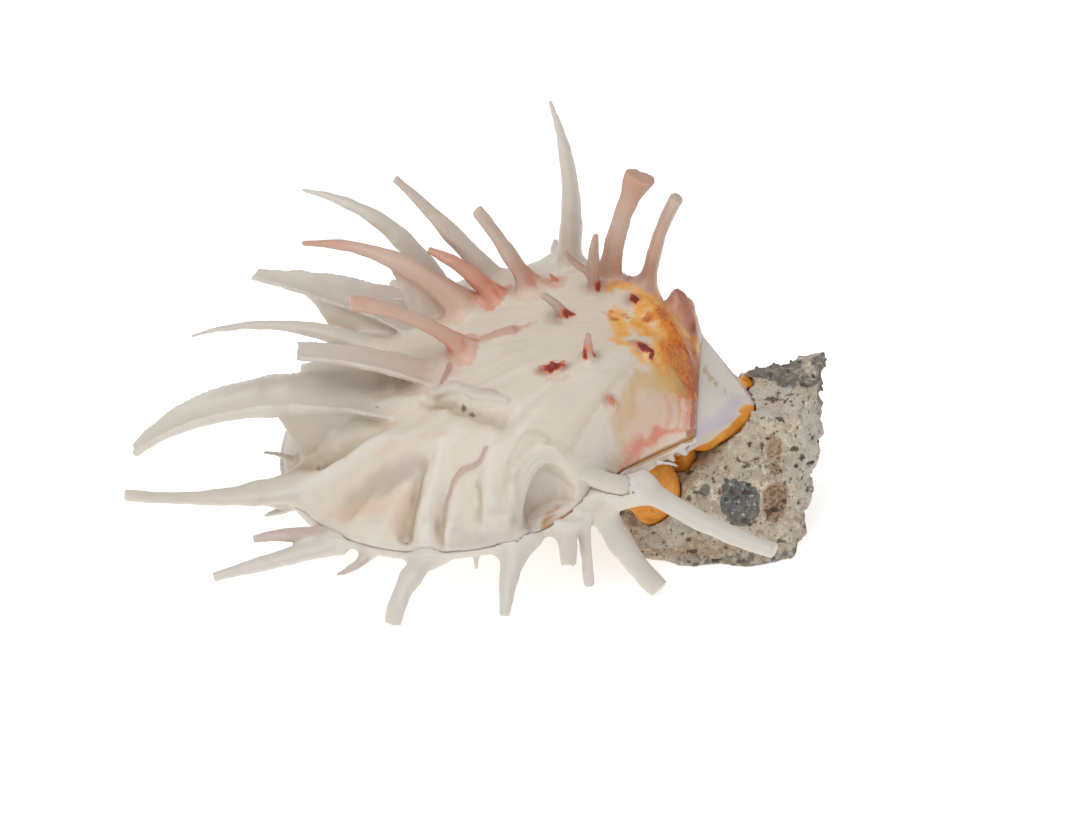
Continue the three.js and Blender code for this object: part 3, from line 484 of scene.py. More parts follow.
def spineSweep():  # sweeps a curled, slightly uneven section along each line of its host
    tree, given, result = newTree("spineSweep", [
        ("Sides", "Int"), ("Roughness", "Float"), ("Rough size", "Float"), ("Seed", "Int"),
        ("Material", "Material")])
    line = addNode(tree, "GeometryNodeMeshToCurve", {"Mesh": given["Geometry"]})
    ring = addNode(tree, "GeometryNodeCurvePrimitiveCircle", {"Resolution": given["Sides"], "Radius": 1.0})
    place = addNode(tree, "GeometryNodeInputPosition").outputs[0]
    kept = {}
    for label, geometry in (("rail", line.outputs["Curve"]), ("section", ring.outputs["Curve"])):
        kept[label] = addNode(tree, "GeometryNodeCaptureAttribute")
        kept[label].capture_items.new("VECTOR", "Place")
        tree.links.new(geometry, kept[label].inputs["Geometry"])
        tree.links.new(place, kept[label].inputs["Place"])
    tube = addNode(tree, "GeometryNodeCurveToMesh", {
        "Curve": kept["rail"].outputs["Geometry"], "Profile Curve": kept["section"].outputs["Geometry"],
        "Fill Caps": True})
    flat = addNode(tree, "ShaderNodeSeparateXYZ", {0: kept["section"].outputs["Place"]})
    values = {"x": flat.outputs["X"], "y": flat.outputs["Y"]}
    for key, kind in railKinds.items():
        read = addNode(tree, "GeometryNodeInputNamedAttribute", {"Name": key}, data_type=kind)
        values[key] = read.outputs[0]
    # The section is a round one wrapped about an arc: x turns round the arc, y is across its wall
    for made, operation, first, second in (
            ("turn", "MULTIPLY", "x", "bend"), ("depth", "MULTIPLY", "y", "halfWall"),
            ("ring", "ADD", "arcRadius", "depth"), ("sine", "SINE", "turn", "turn"),
            ("cosine", "COSINE", "turn", "turn"),
            ("sideways", "MULTIPLY", "ring", "sine"), ("drop", "MULTIPLY", "ring", "cosine"),
            ("rise", "SUBTRACT", "middle", "drop")):
        values[made] = addNode(tree, "ShaderNodeMath", {0: values[first], 1: values[second]},
                               operation=operation).outputs[0]
    spot = kept["rail"].outputs["Place"]
    for direction, amount in (("across", "sideways"), ("thin", "rise")):
        step = addNode(tree, "ShaderNodeVectorMath", {0: values[direction], "Scale": values[amount]},
                       operation="SCALE")
        spot = addNode(tree, "ShaderNodeVectorMath", {0: spot, 1: step.outputs[0]},
                       operation="ADD").outputs[0]
    shifted = addNode(tree, "ShaderNodeVectorMath", {0: spot, 1: given["Seed"]}, operation="ADD")
    finer = addNode(tree, "ShaderNodeMath", {0: 1.0, 1: given["Rough size"]}, operation="DIVIDE")
    rough = addNode(tree, "ShaderNodeTexNoise", {"Vector": shifted.outputs[0], "Scale": finer.outputs[0],
                                                 "Detail": 2.0})
    centred = addNode(tree, "ShaderNodeVectorMath", {0: rough.outputs["Color"], 1: (0.5, 0.5, 0.5)},
                      operation="SUBTRACT")
    shift = addNode(tree, "ShaderNodeVectorMath", {0: centred.outputs[0], "Scale": given["Roughness"]},
                    operation="SCALE")
    spot = addNode(tree, "ShaderNodeVectorMath", {0: spot, 1: shift.outputs[0]}, operation="ADD").outputs[0]
    moved = addNode(tree, "GeometryNodeSetPosition", {"Geometry": tube.outputs["Mesh"], "Position": spot})
    facets = addNode(tree, "GeometryNodeTriangulate", {"Mesh": moved.outputs["Geometry"]})
    return finishTree(tree, facets.outputs["Mesh"], given, result)


def sweptSpines(rails, tree, material):  # one closed set of points and triangles for each spine
    mesh = bpy.data.meshes.new("spineLines")
    count = len(rails) * spineMake["steps"]
    edges = [(step, step + 1) for step in range(count - 1) if (step + 1) % spineMake["steps"]]
    mesh.from_pydata(np.concatenate([rail["path"] for rail in rails]).tolist(), edges, [])
    dressMesh(mesh, {key: np.concatenate([rail[key] for rail in rails]) for key in railKinds})
    made = grown(mesh, tree, {
        "Sides": spineMake["sides"], "Roughness": 2 * spineMake["roughness"],
        "Rough size": spineMake["roughSize"], "Seed": spineMake["seed"], "Material": material})
    points, triangles = meshArrays(made)
    bpy.data.meshes.remove(made)
    each = spineMake["steps"] * spineMake["sides"]
    owner = triangles[:, 0] // each
    solids = []
    for index, rail in enumerate(rails):
        own = points[index * each:(index + 1) * each]
        # A broken end is ragged
        tip = own[-spineMake["sides"]:]
        chips = 0.5 + 0.5 * lumps(tip, spineMake["raggedSize"], spineMake["raggedSeed"] + index)[:, None]
        onward = rail["path"][-1] - rail["path"][-3]
        tip += chips * rail["spine"].get("ragged", 0) * onward / np.linalg.norm(onward)
        solids.append((own, triangles[owner == index] - index * each))
    return solids


def webArrays(rail, heightAt):  # a thin web between the underside of a spine and the valve
    web = rail["spine"]["web"]
    out, far = (np.array([float(step)]) for step in web["foot"])
    thickness = web.get("thickness", spineMake["webThickness"])
    foot = np.array([-out[0], far[0], heightAt(out, far)[0] - thickness])
    turn = web.get("side", 0) * rail["bend"][:, None]
    reach = rail["arcRadius"][:, None]
    under = rail["path"] + rail["across"] * reach * np.sin(turn)
    under = under + rail["thin"] * (rail["middle"][:, None] - reach * np.cos(turn))
    last = web["to"] * spineMake["steps"]
    top = under[[1, int(last * spineMake["webMiddle"]), int(last)]]
    across = np.cross(top[-1] - top[0], foot - top[0])
    across *= thickness / 2 / np.linalg.norm(across)
    corners = [*top, foot]
    return hullArrays([corner + side * across for corner in corners for side in (-1, 1)])


def meshArrays(mesh):
    points = np.zeros(len(mesh.vertices) * 3, np.float32)
    mesh.vertices.foreach_get("co", points)
    mesh.calc_loop_triangles()
    triangles = np.zeros(len(mesh.loop_triangles) * 3, np.int32)
    mesh.loop_triangles.foreach_get("vertices", triangles)
    return points.reshape(-1, 3), triangles.reshape(-1, 3)


def hullArrays(corners):  # the tightest closed solid round some corners
    work = bmesh.new()
    for corner in corners:
        work.verts.new(corner)
    found = bmesh.ops.convex_hull(work, input=work.verts)
    bmesh.ops.delete(work, geom=[*{*found["geom_interior"], *found["geom_unused"]}], context="VERTS")
    bmesh.ops.triangulate(work, faces=work.faces)
    bmesh.ops.recalc_face_normals(work, faces=work.faces)
    mesh = bpy.data.meshes.new("hull")
    work.to_mesh(mesh)
    work.free()
    arrays = meshArrays(mesh)
    bpy.data.meshes.remove(mesh)
    return arrays


# Blocks of signed distance in millimetres: less than 0 inside a solid, all on one lattice of their voxel size
def emptyBlock(low, high, voxel):
    first = np.floor(np.array(low) / voxel).astype(int) - grain["band"]
    shape = np.ceil(np.array(high) / voxel).astype(int) + grain["band"] - first
    return {"first": first, "voxel": voxel, "values": np.full(shape, grain["band"] * voxel, np.float32)}


def blockAxes(block):
    sizes = zip(block["first"], block["values"].shape)
    return [(first + np.arange(size)) * block["voxel"] for first, size in sizes]


def solidBlock(points, triangles, voxel):
    grid = openvdb.FloatGrid.createLevelSetFromPolygons(
        points.astype(np.float32), triangles=triangles.astype(np.uint32),
        transform=openvdb.createLinearTransform(voxelSize=voxel), halfWidth=grain["band"])
    block = emptyBlock(points.min(0), points.max(0), voxel)
    grid.copyToArray(block["values"], ijk=tuple(int(step) for step in block["first"]))
    return block


def overlap(block, part):  # views of the stretch that both blocks hold
    low = np.maximum(part["first"], block["first"])
    high = np.minimum(part["first"] + part["values"].shape, block["first"] + block["values"].shape)
    views = []
    for item in (block, part):
        edges = zip(low - item["first"], high - item["first"])
        views.append(item["values"][tuple(slice(a, max(a, b)) for a, b in edges)])
    return views


def joinBlock(block, part, fillet):  # adds a part, with a fillet of that reach where they meet
    here, new = overlap(block, part)
    limit = grain["band"] * block["voxel"]
    reach = fillet * np.clip(2 - 2 * np.maximum(here, new) / limit, 0, 1) + 1e-6
    near = np.maximum(reach - np.abs(here - new), 0)
    here[:] = np.minimum(here, new) - near ** 2 / (4 * reach)


def readBlock(block, points):  # signed distance at some points, between the lattice's own
    cells = points / block["voxel"] - block["first"]
    top = np.array(block["values"].shape) - 2
    outside = ((cells < 0) | (cells > top)).any(1)
    cells = np.clip(cells, 0, top)
    low = cells.astype(int)
    part = cells - low
    total = 0
    for corner in np.ndindex(2, 2, 2):
        weight = np.prod(np.where(corner, part, 1 - part), 1)
        total = total + weight * block["values"][tuple((low + corner).T)]
    return np.where(outside, grain["band"] * block["voxel"], total)


def blockMesh(name, block, most):  # the surface of a block as one closed mesh of at most so many triangles
    grid = openvdb.FloatGrid(grain["band"] * block["voxel"])
    grid.copyFromArray(block["values"], ijk=tuple(int(step) for step in block["first"]))
    grid.transform = openvdb.createLinearTransform(voxelSize=block["voxel"])
    points, _, quads = grid.convertToPolygons(isovalue=0, adaptivity=0)
    mesh = bpy.data.meshes.new(name)
    mesh.vertices.add(len(points))
    mesh.vertices.foreach_set("co", points.ravel())
    mesh.loops.add(quads.size)
    mesh.loops.foreach_set("vertex_index", quads.ravel().astype(np.int32))
    mesh.polygons.add(len(quads))
    mesh.polygons.foreach_set("loop_start", np.arange(0, quads.size, 4, dtype=np.int32))
    mesh.update(calc_edges=True)
    piece = linked(name, mesh)
    thinner = piece.modifiers.new("Thinner", "DECIMATE")
    thinner.ratio = min(1, most / (2 * len(quads)))
    slim = bpy.data.meshes.new_from_object(piece.evaluated_get(bpy.context.evaluated_depsgraph_get()))
    piece.modifiers.remove(thinner)
    piece.data = slim
    bpy.data.meshes.remove(mesh)
    keepLargest(slim)
    slim.name = name
    return piece


def keepLargest(mesh):  # leaves only the largest connected surface, with its faces outwards
    work = bmesh.new()
    work.from_mesh(mesh)
    bmesh.ops.triangulate(work, faces=[face for face in work.faces if len(face.verts) > 3])
    left = set(work.verts)
    largest = []
    while left:
        start = left.pop()
        group, queue = [start], [start]
        while queue:
            for edge in queue.pop().link_edges:
                for vert in edge.verts:
                    if vert in left:
                        left.remove(vert)
                        group.append(vert)
                        queue.append(vert)
        if len(group) > len(largest):
            largest = group
    keep = set(largest)
    bmesh.ops.delete(work, geom=[vert for vert in work.verts if vert not in keep], context="VERTS")
    if work.calc_volume(signed=True) < 0:
        bmesh.ops.reverse_faces(work, faces=work.faces)
    work.to_mesh(mesh)
    work.free()


# Where a spine's colour starts at its root, in mm and in shares of its width. The red and orange feet have
# lobes (how many, how deep, how turned) and kinds (colour, height and reach in root widths).
spineEdge = {"pad": 4, "ridgeSpill": 0.6, "spineSpill": 1.8, "inner": 0.2, "outer": 1.1, "riseFrom": 0.5,
             "riseTo": 1.5, "riseWidths": 0.55, "lengthScale": 0.08, "apart": 5}
rootFoot = {"solid": 0.22, "lobes": ((3, 0.45, 1), (7, 0.2, 2)), "fade": (0.15, 1.1),
            "kinds": (("red", 1.0, 0.13), ("orange", 1.4, 0.2))}


def spineFacts(points, rails):  # for each point: how much it belongs to a spine, and its colours there
    facts = {key: np.zeros(len(points), np.float32) for key in ("spine", "pink", "warm", "red", "orange")}
    facts["spinePlace"] = np.zeros((len(points), 3), np.float32)
    for index, rail in enumerate(rails):
        path, spine = rail["path"], rail["spine"]
        half = np.maximum(rail["width"] / 2, rail["halfWall"])
        pad = half.max() + spineEdge["pad"]
        near = np.flatnonzero(((points > path.min(0) - pad) & (points < path.max(0) + pad)).all(1))
        if not len(near):
            continue
        offsets = points[near][:, None] - path[None]
        distances = np.linalg.norm(offsets, axis=2)
        step = distances.argmin(1)
        distance = distances[np.arange(len(near)), step]
        steps = np.linalg.norm(np.diff(path, axis=0), axis=1)
        along = np.concatenate([[0], np.cumsum(steps)])[step]
        offset = offsets[np.arange(len(near)), step]
        sideways = (offset * rail["across"][step]).sum(1)
        thin = (offset * rail["thin"][step]).sum(1)
        rise = 1
        spill = spineEdge["ridgeSpill"]
        if "path" not in spine:
            risen = spineEdge["riseTo"] + spineEdge["riseWidths"] * rail["width"][0]
            rise = ramp(along, spineEdge["riseFrom"], risen)
            spill = spineEdge["spineSpill"]
        inner = half[step] + spill * spineEdge["inner"]
        belongs = (1 - ramp(distance, inner, half[step] * spineEdge["outer"] + spill)) * rise
        better = belongs > facts["spine"][near]
        chosen = near[better]
        facts["spine"][chosen] = belongs[better]
        share = along / steps.sum()
        tone = np.broadcast_to(spine.get("pink", 0), 3)
        facts["pink"][chosen] = np.interp(share, (0, 0.5, 1), tone)[better]
        facts["warm"][chosen] = spine.get("warm", 0)
        onSpine = along * spineEdge["lengthScale"] + spineEdge["apart"] * index
        facts["spinePlace"][chosen] = np.column_stack([sideways, thin, onSpine])[better] / 1000
        if "red" not in spine and "orange" not in spine:
            continue
        sunk = 0 if "path" in spine else spine.get("sunk", spineMake["rootSink"])
        foot = np.searchsorted(np.cumsum(steps), sunk)
        fromRoot = points[near] - path[foot]
        onward = (path[-1] - path[foot]) / np.linalg.norm(path[-1] - path[foot])
        climb = fromRoot @ onward
        beside = np.linalg.norm(fromRoot - climb[:, None] * onward, axis=1)
        turn = np.arctan2(fromRoot[:, 1], fromRoot[:, 0])
        star = 1
        for lobes, depth, shift in rootFoot["lobes"]:
            star = star + depth * np.cos(lobes * turn + shift * index)
        wide = spine["widths"][0]
        for key, height, reach in rootFoot["kinds"]:
            outwards = np.maximum(beside - rootFoot["solid"] * wide, 0) / (reach * wide * star)
            spread = np.hypot(np.maximum(climb, 0) / (height * wide), outwards)
            patch = spine.get(key, 0) * (1 - ramp(spread, *rootFoot["fade"]))
            facts[key][near] = np.maximum(facts[key][near], patch)
    return facts


def formFacts(mesh, points, block):  # how deep each point lies in a hollow, and how thin the wall is under it
    normals = np.zeros(len(points) * 3, np.float32)
    mesh.vertices.foreach_get("normal", normals)
    normals = normals.reshape(-1, 3)
    clear, deep = grain["hollowReach"], grain["edgeReach"]
    offSeam = ramp(np.abs(points[:, 2]), *grain["seamClear"])
    # hollowShade is painted shade: darker the deeper a point lies in a hollow, and kept off the seam
    return {"hollowShade": offSeam * np.clip(1 - readBlock(block, points + normals * clear) / clear, 0, 1),
            # edge is painted light: a tint for light showing through thin walls and spine tips
            "edge": np.clip(1 + readBlock(block, points - normals * deep) / deep, 0, 1)}


# How ragged the drawn patches are: sizes of the swells in mm, how far they shift a stroke, and its soft edge
ragged = {"coarse": 2.4, "fine": 0.9, "fineShare": 0.5, "seeds": (81, 83), "shift": 0.45, "widest": 2,
          "soft": 1.15}


def strokeMasks(out, far, strokes):  # soft ragged patches and lines of colour drawn on the shell
    masks = {}
    spot = np.stack([out, far], -1)
    rough = [lumps(spot, ragged["coarse"], seed) + ragged["fineShare"] * lumps(spot, ragged["fine"], seed + 1)
             for seed in ragged["seeds"]]
    for stroke in strokes:
        shift = ragged["shift"] * min(stroke["width"], ragged["widest"])
        distance, along = fromStroke(out + shift * rough[0], far + shift * rough[1], stroke["path"])
        start, end = np.broadcast_to(stroke.get("strength", 1), 2)
        cover = (start + (end - start) * along) * (1 - ramp(distance, 0, stroke["width"] * ragged["soft"]))
        masks[stroke["mask"]] = np.maximum(masks.get(stroke["mask"], 0), cover)
    return masks


def dressMesh(mesh, facts):  # writes what the materials and the sweep read as attributes of the mesh
    for key, values in facts.items():
        kind, label = ("FLOAT", "value") if values.ndim == 1 else ("FLOAT_VECTOR", "vector")
        attribute = mesh.attributes.new(key, kind, "POINT")
        attribute.data.foreach_set(label, values.astype(np.float32).ravel())


def placePiece(piece, points, material):  # moves a piece's points to where they stand, in metres
    piece.data.vertices.foreach_set("co", (points / 1000).astype(np.float32).ravel())
    piece.data.materials.clear()
    piece.data.materials.append(material)
    piece.data.update()
    piece.data.shade_smooth()


# Noise detail of the colour layers and of the bumps, and how deep in mm light spreads in the shell
paintMake = {"detail": 3.0, "bumpDetail": 4.0, "fineness": 0.6, "glowColour": (1.0, 0.7, 0.5), "glowDepth": 2}


def noiseNode(tree, where, item, detail):
    return addNode(tree, "ShaderNodeTexNoise", {
        "Vector": where[item.get("along", "all")], "Scale": 1000 / item["size"], "Detail": detail,
        "Roughness": paintMake["fineness"]}).outputs["Fac"]


def paintedMaterial(name, recipe):  # a base colour under layers that attributes and noise lay over it
    material = bpy.data.materials.new(name)
    material.use_nodes = True
    tree = material.node_tree
    tree.nodes.clear()
    where = {"all": addNode(tree, "ShaderNodeTexCoord").outputs["Object"]}
    for key in ("rayPlace", "spinePlace"):
        where[key] = addNode(tree, "ShaderNodeAttribute", attribute_name=key).outputs["Vector"]
    colour = linear(recipe["base"])
    for layer in recipe["layers"]:
        noise = noiseNode(tree, where, layer, paintMake["detail"])
        amount = layer["amount"]
        ground = -amount / 2
        if "mask" in layer:
            mask = addNode(tree, "ShaderNodeAttribute", attribute_name=layer["mask"])
            ground = addNode(tree, "ShaderNodeMath", {0: mask.outputs["Fac"], 1: -amount / 2},
                             operation="ADD").outputs[0]
        level = addNode(tree, "ShaderNodeMath", {0: noise, 1: amount, 2: ground},
                        operation="MULTIPLY_ADD")
        low, high = layer["range"]
        cover = addNode(tree, "ShaderNodeMapRange", {
            "Value": level.outputs[0], "From Min": low, "From Max": high, "To Max": layer["strength"]},
            interpolation_type="SMOOTHSTEP")
        if "within" in layer:
            limit = addNode(tree, "ShaderNodeAttribute", attribute_name=layer["within"])
            cover = addNode(tree, "ShaderNodeMath", {0: cover.outputs[0], 1: limit.outputs["Fac"]},
                            operation="MULTIPLY")
        # Inputs 6 and 7 and output 2 of this node are its colours
        mixed = addNode(tree, "ShaderNodeMix", {
            0: cover.outputs[0], 6: colour, 7: linear(layer["colour"])}, data_type="RGBA")
        colour = mixed.outputs[2]
    normal = None
    for bump in recipe["bumps"]:
        noise = noiseNode(tree, where, bump, paintMake["bumpDetail"])
        links = {"Height": noise, "Distance": bump["height"] / 1000, "Strength": 1.0}
        if normal:
            links["Normal"] = normal
        normal = addNode(tree, "ShaderNodeBump", links).outputs["Normal"]
    surface = addNode(tree, "ShaderNodeBsdfPrincipled", {
        "Base Color": colour, "Normal": normal, "Roughness": recipe["roughness"], "IOR": recipe["ior"],
        "Subsurface Weight": recipe.get("glow", 0.0), "Subsurface Radius": paintMake["glowColour"],
        "Subsurface Scale": paintMake["glowDepth"] / 1000})
    addNode(tree, "ShaderNodeOutputMaterial", {"Surface": surface.outputs["BSDF"]})
    return material


# Glazed-looking calcite: dense, cream and slightly see-through, with a satin face. The colours lie in it as
# patches and rays of growth, so several layers follow the rays or the length of a spine.
upperPaint = {
    "base": "#DDD2C2", "roughness": 0.4, "ior": 1.57, "glow": 0.12,
    "layers": [
        {"size": 14, "amount": 1.0, "range": (-0.05, 0.25), "colour": "#D0C3B1", "strength": 0.5},
        {"along": "rayPlace", "size": 2.2, "amount": 1.0, "range": (0.05, 0.35), "colour": "#CAB59D",
         "strength": 0.35},
        {"along": "rayPlace", "size": 5, "amount": 1.0, "range": (0.02, 0.3), "colour": "#E6DED2",
         "strength": 0.5},
        # Painted highlight on the fold crests
        {"mask": "crestLight", "size": 4, "amount": 0.5, "range": (0.1, 0.9), "colour": "#E3DED6",
         "strength": 0.7},
        # Painted shade in the fold valleys
        {"mask": "valleyShade", "size": 4, "amount": 0.5, "range": (0.1, 1.0), "colour": "#B8A48C",
         "strength": 0.6},
        # Painted shade drawn along the valleys
        {"mask": "drawnShade", "along": "rayPlace", "size": 2.5, "amount": 0.6, "range": (0.0, 1.0),
         "colour": "#A8957C", "strength": 0.65},
        {"mask": "blush", "along": "rayPlace", "size": 2, "amount": 1.0, "range": (0.1, 1.1),
         "colour": "#DBB8A0", "strength": 0.6},
        {"mask": "lavender", "size": 4, "amount": 0.5, "range": (0.1, 1.0), "colour": "#BDB0A6",
         "strength": 0.6},
        # Painted shade in the hollows
        {"mask": "hollowShade", "size": 3, "amount": 0.15, "range": (0.02, 0.7), "colour": "#A98F74",
         "strength": 0.45},
        # Painted light showing through thin walls and edges
        {"mask": "edge", "size": 3, "amount": 0.2, "range": (0.1, 1.0), "colour": "#D9D2CC", "strength": 0.5},
        {"mask": "earTint", "size": 6, "amount": 0.5, "range": (0.1, 1.0), "colour": "#DFBDA6",
         "strength": 0.7},
        {"mask": "amber", "size": 2.2, "amount": 0.9, "range": (0.15, 0.7), "colour": "#F0B050",
         "strength": 0.88},
        {"mask": "amber", "size": 1.2, "amount": 1.4, "range": (0.6, 1.1), "colour": "#E39A36",
         "strength": 0.85},
        {"mask": "deepOrange", "size": 1.2, "amount": 1.4, "range": (0.2, 0.7), "colour": "#DC7D12",
         "strength": 0.9},
        {"mask": "deepOrange", "size": 0.9, "amount": 1.6, "range": (0.7, 1.1), "colour": "#B4560F",
         "strength": 0.85},
        {"mask": "umber", "size": 0.8, "amount": 0.3, "range": (0.15, 0.8), "colour": "#BC5C1C",
         "strength": 0.85},
        {"mask": "grime", "size": 0.8, "amount": 0.4, "range": (0.1, 0.6), "colour": "#6F5F42",
         "strength": 0.85},
        {"mask": "ochre", "size": 2.5, "amount": 0.6, "range": (0.1, 1.1), "colour": "#D2AC6E",
         "strength": 0.75},
        {"mask": "coral", "size": 1.2, "amount": 0.7, "range": (0.0, 1.1), "colour": "#DA7C64",
         "strength": 0.8},
        {"mask": "shoulder", "size": 3, "amount": 0.5, "range": (0.3, 0.9), "colour": "#CF957A",
         "strength": 0.9},
        {"mask": "hingeLine", "size": 2, "amount": 0.4, "range": (0.1, 0.8), "colour": "#A2553C",
         "strength": 0.85},
        {"mask": "seam", "size": 3, "amount": 0.6, "range": (0.3, 0.8), "colour": "#AE7434", "strength": 0.8},
        {"mask": "spine", "along": "spinePlace", "size": 3, "amount": 0.3, "range": (0.2, 0.9),
         "colour": "#D3CCC0", "strength": 0.7},
        {"mask": "pink", "within": "spine", "along": "spinePlace", "size": 1.6, "amount": 0.5,
         "range": (0.0, 1.2), "colour": "#B38473", "strength": 0.9},
        {"mask": "warm", "within": "pink", "along": "spinePlace", "size": 2, "amount": 0.4,
         "range": (0.1, 1.2), "colour": "#DA8E6E", "strength": 0.9},
        {"mask": "orange", "size": 2.5, "amount": 0.5, "range": (0.1, 1.1), "colour": "#CC6A48",
         "strength": 0.8},
        {"mask": "red", "size": 1.5, "amount": 0.3, "range": (0.0, 0.4), "colour": "#DB7548",
         "strength": 0.7},
        {"mask": "red", "size": 1.5, "amount": 0.5, "range": (0.3, 0.6), "colour": "#B02E1C",
         "strength": 0.9},
        {"mask": "red", "size": 1.2, "amount": 0.6, "range": (0.5, 0.95), "colour": "#74180C",
         "strength": 0.9},
    ],
    "bumps": [{"along": "rayPlace", "size": 1.2, "height": 0.1}, {"size": 0.7, "height": 0.05}],
}
# The same calcite, whiter on the spines and stained orange next to the stone
lowerPaint = {
    "base": "#DDD5C9", "roughness": 0.42, "ior": 1.57, "glow": 0.12,
    "layers": [
        {"size": 9, "amount": 1.0, "range": (-0.05, 0.3), "colour": "#CFC3B4", "strength": 0.6},
        {"along": "rayPlace", "size": 3, "amount": 1.0, "range": (0.05, 0.35), "colour": "#C6B2A1",
         "strength": 0.4},
        # Painted shade in the hollows
        {"mask": "hollowShade", "size": 3, "amount": 0.15, "range": (0.02, 0.7), "colour": "#AB957F",
         "strength": 0.6},
        # Painted light showing through thin walls and edges
        {"mask": "edge", "size": 3, "amount": 0.2, "range": (0.1, 1.0), "colour": "#D9D4D0", "strength": 0.5},
        {"mask": "cardinal", "size": 8, "amount": 0.4, "range": (0.3, 0.7), "colour": "#DFD8CF",
         "strength": 0.9},
        {"mask": "mauve", "size": 4, "amount": 0.4, "range": (0.1, 1.0), "colour": "#CBC1CB",
         "strength": 0.8},
        {"mask": "scratch", "size": 2, "amount": 0.2, "range": (0.1, 0.9), "colour": "#B89C74",
         "strength": 0.7},
        {"mask": "cardinalEdge", "size": 3, "amount": 0.4, "range": (0.2, 1.0), "colour": "#B07286",
         "strength": 0.6},
        {"mask": "stoneGlow", "size": 4, "amount": 0.7, "range": (0.3, 0.65), "colour": "#EBA32A",
         "strength": 0.95},
        {"mask": "stoneGlow", "size": 2.4, "amount": 1.4, "range": (0.7, 1.2), "colour": "#DE8410",
         "strength": 0.85},
        {"mask": "stoneGlow", "size": 1.6, "amount": 1.6, "range": (1.12, 1.4), "colour": "#8E4C12",
         "strength": 0.8},
        {"mask": "seam", "size": 3, "amount": 0.6, "range": (0.3, 0.8), "colour": "#B9843E", "strength": 0.8},
        {"mask": "spine", "along": "spinePlace", "size": 3, "amount": 0.3, "range": (0.2, 0.9),
         "colour": "#D3CCC2", "strength": 0.8},
        {"mask": "pink", "within": "spine", "along": "spinePlace", "size": 1.6, "amount": 0.5,
         "range": (0.0, 1.2), "colour": "#B98C7C", "strength": 0.9},
    ],
    "bumps": [{"along": "rayPlace", "size": 1.5, "height": 0.06}, {"size": 0.7, "height": 0.04}],
}
# Conglomerate: a dull, gritty matrix of sand and lime with dark pebbles, pits, specks and brown stains
stonePaint = {
    "base": "#C2B5A2", "roughness": 0.9, "ior": 1.5,
    "layers": [
        {"size": 8, "amount": 1.0, "range": (-0.05, 0.2), "colour": "#A59B8E", "strength": 0.7},
        {"size": 3.4, "amount": 1.0, "range": (0.0, 0.18), "colour": "#DACDB6", "strength": 0.85},
        {"size": 1.3, "amount": 1.0, "range": (0.02, 0.16), "colour": "#E6DCC8", "strength": 0.7},
        {"size": 1.9, "amount": 1.0, "range": (0.06, 0.2), "colour": "#A38C76", "strength": 0.7},
        {"mask": "stain", "size": 1.4, "amount": 1.4, "range": (0.3, 0.9), "colour": "#A07C5C",
         "strength": 0.65},
        {"mask": "stain", "size": 0.8, "amount": 1.6, "range": (0.7, 1.1), "colour": "#6B4B34",
         "strength": 0.8},
        {"mask": "pale", "size": 3, "amount": 1.2, "range": (0.2, 1.0), "colour": "#C9C2B6", "strength": 0.8},
        {"mask": "weathered", "size": 1.6, "amount": 2.4, "range": (0.35, 1.0), "colour": "#66645F",
         "strength": 0.85},
        {"mask": "pebble", "size": 0.8, "amount": 0.6, "range": (0.3, 0.55), "colour": "#73736E",
         "strength": 0.95},
        {"mask": "pebble", "size": 2, "amount": 1.4, "range": (0.75, 1.1), "colour": "#5C5D5A",
         "strength": 0.7},
        {"mask": "pebble", "size": 0.8, "amount": 1.6, "range": (1.1, 1.25), "colour": "#C4C4BE",
         "strength": 0.85},
        {"size": 0.9, "amount": 1.0, "range": (0.11, 0.18), "colour": "#75644F", "strength": 0.75},
        {"size": 0.5, "amount": 1.0, "range": (0.12, 0.18), "colour": "#453A30", "strength": 0.85},
        {"mask": "pit", "size": 0.8, "amount": 0.6, "range": (0.4, 0.9), "colour": "#5C4C3C",
         "strength": 0.8},
        {"mask": "grainTone", "size": 3, "amount": 0.2, "range": (0.35, 1.0), "colour": "#544436",
         "strength": 0.8},
    ],
    "bumps": [{"size": 1.2, "height": 0.35}, {"size": 0.35, "height": 0.12}],
}
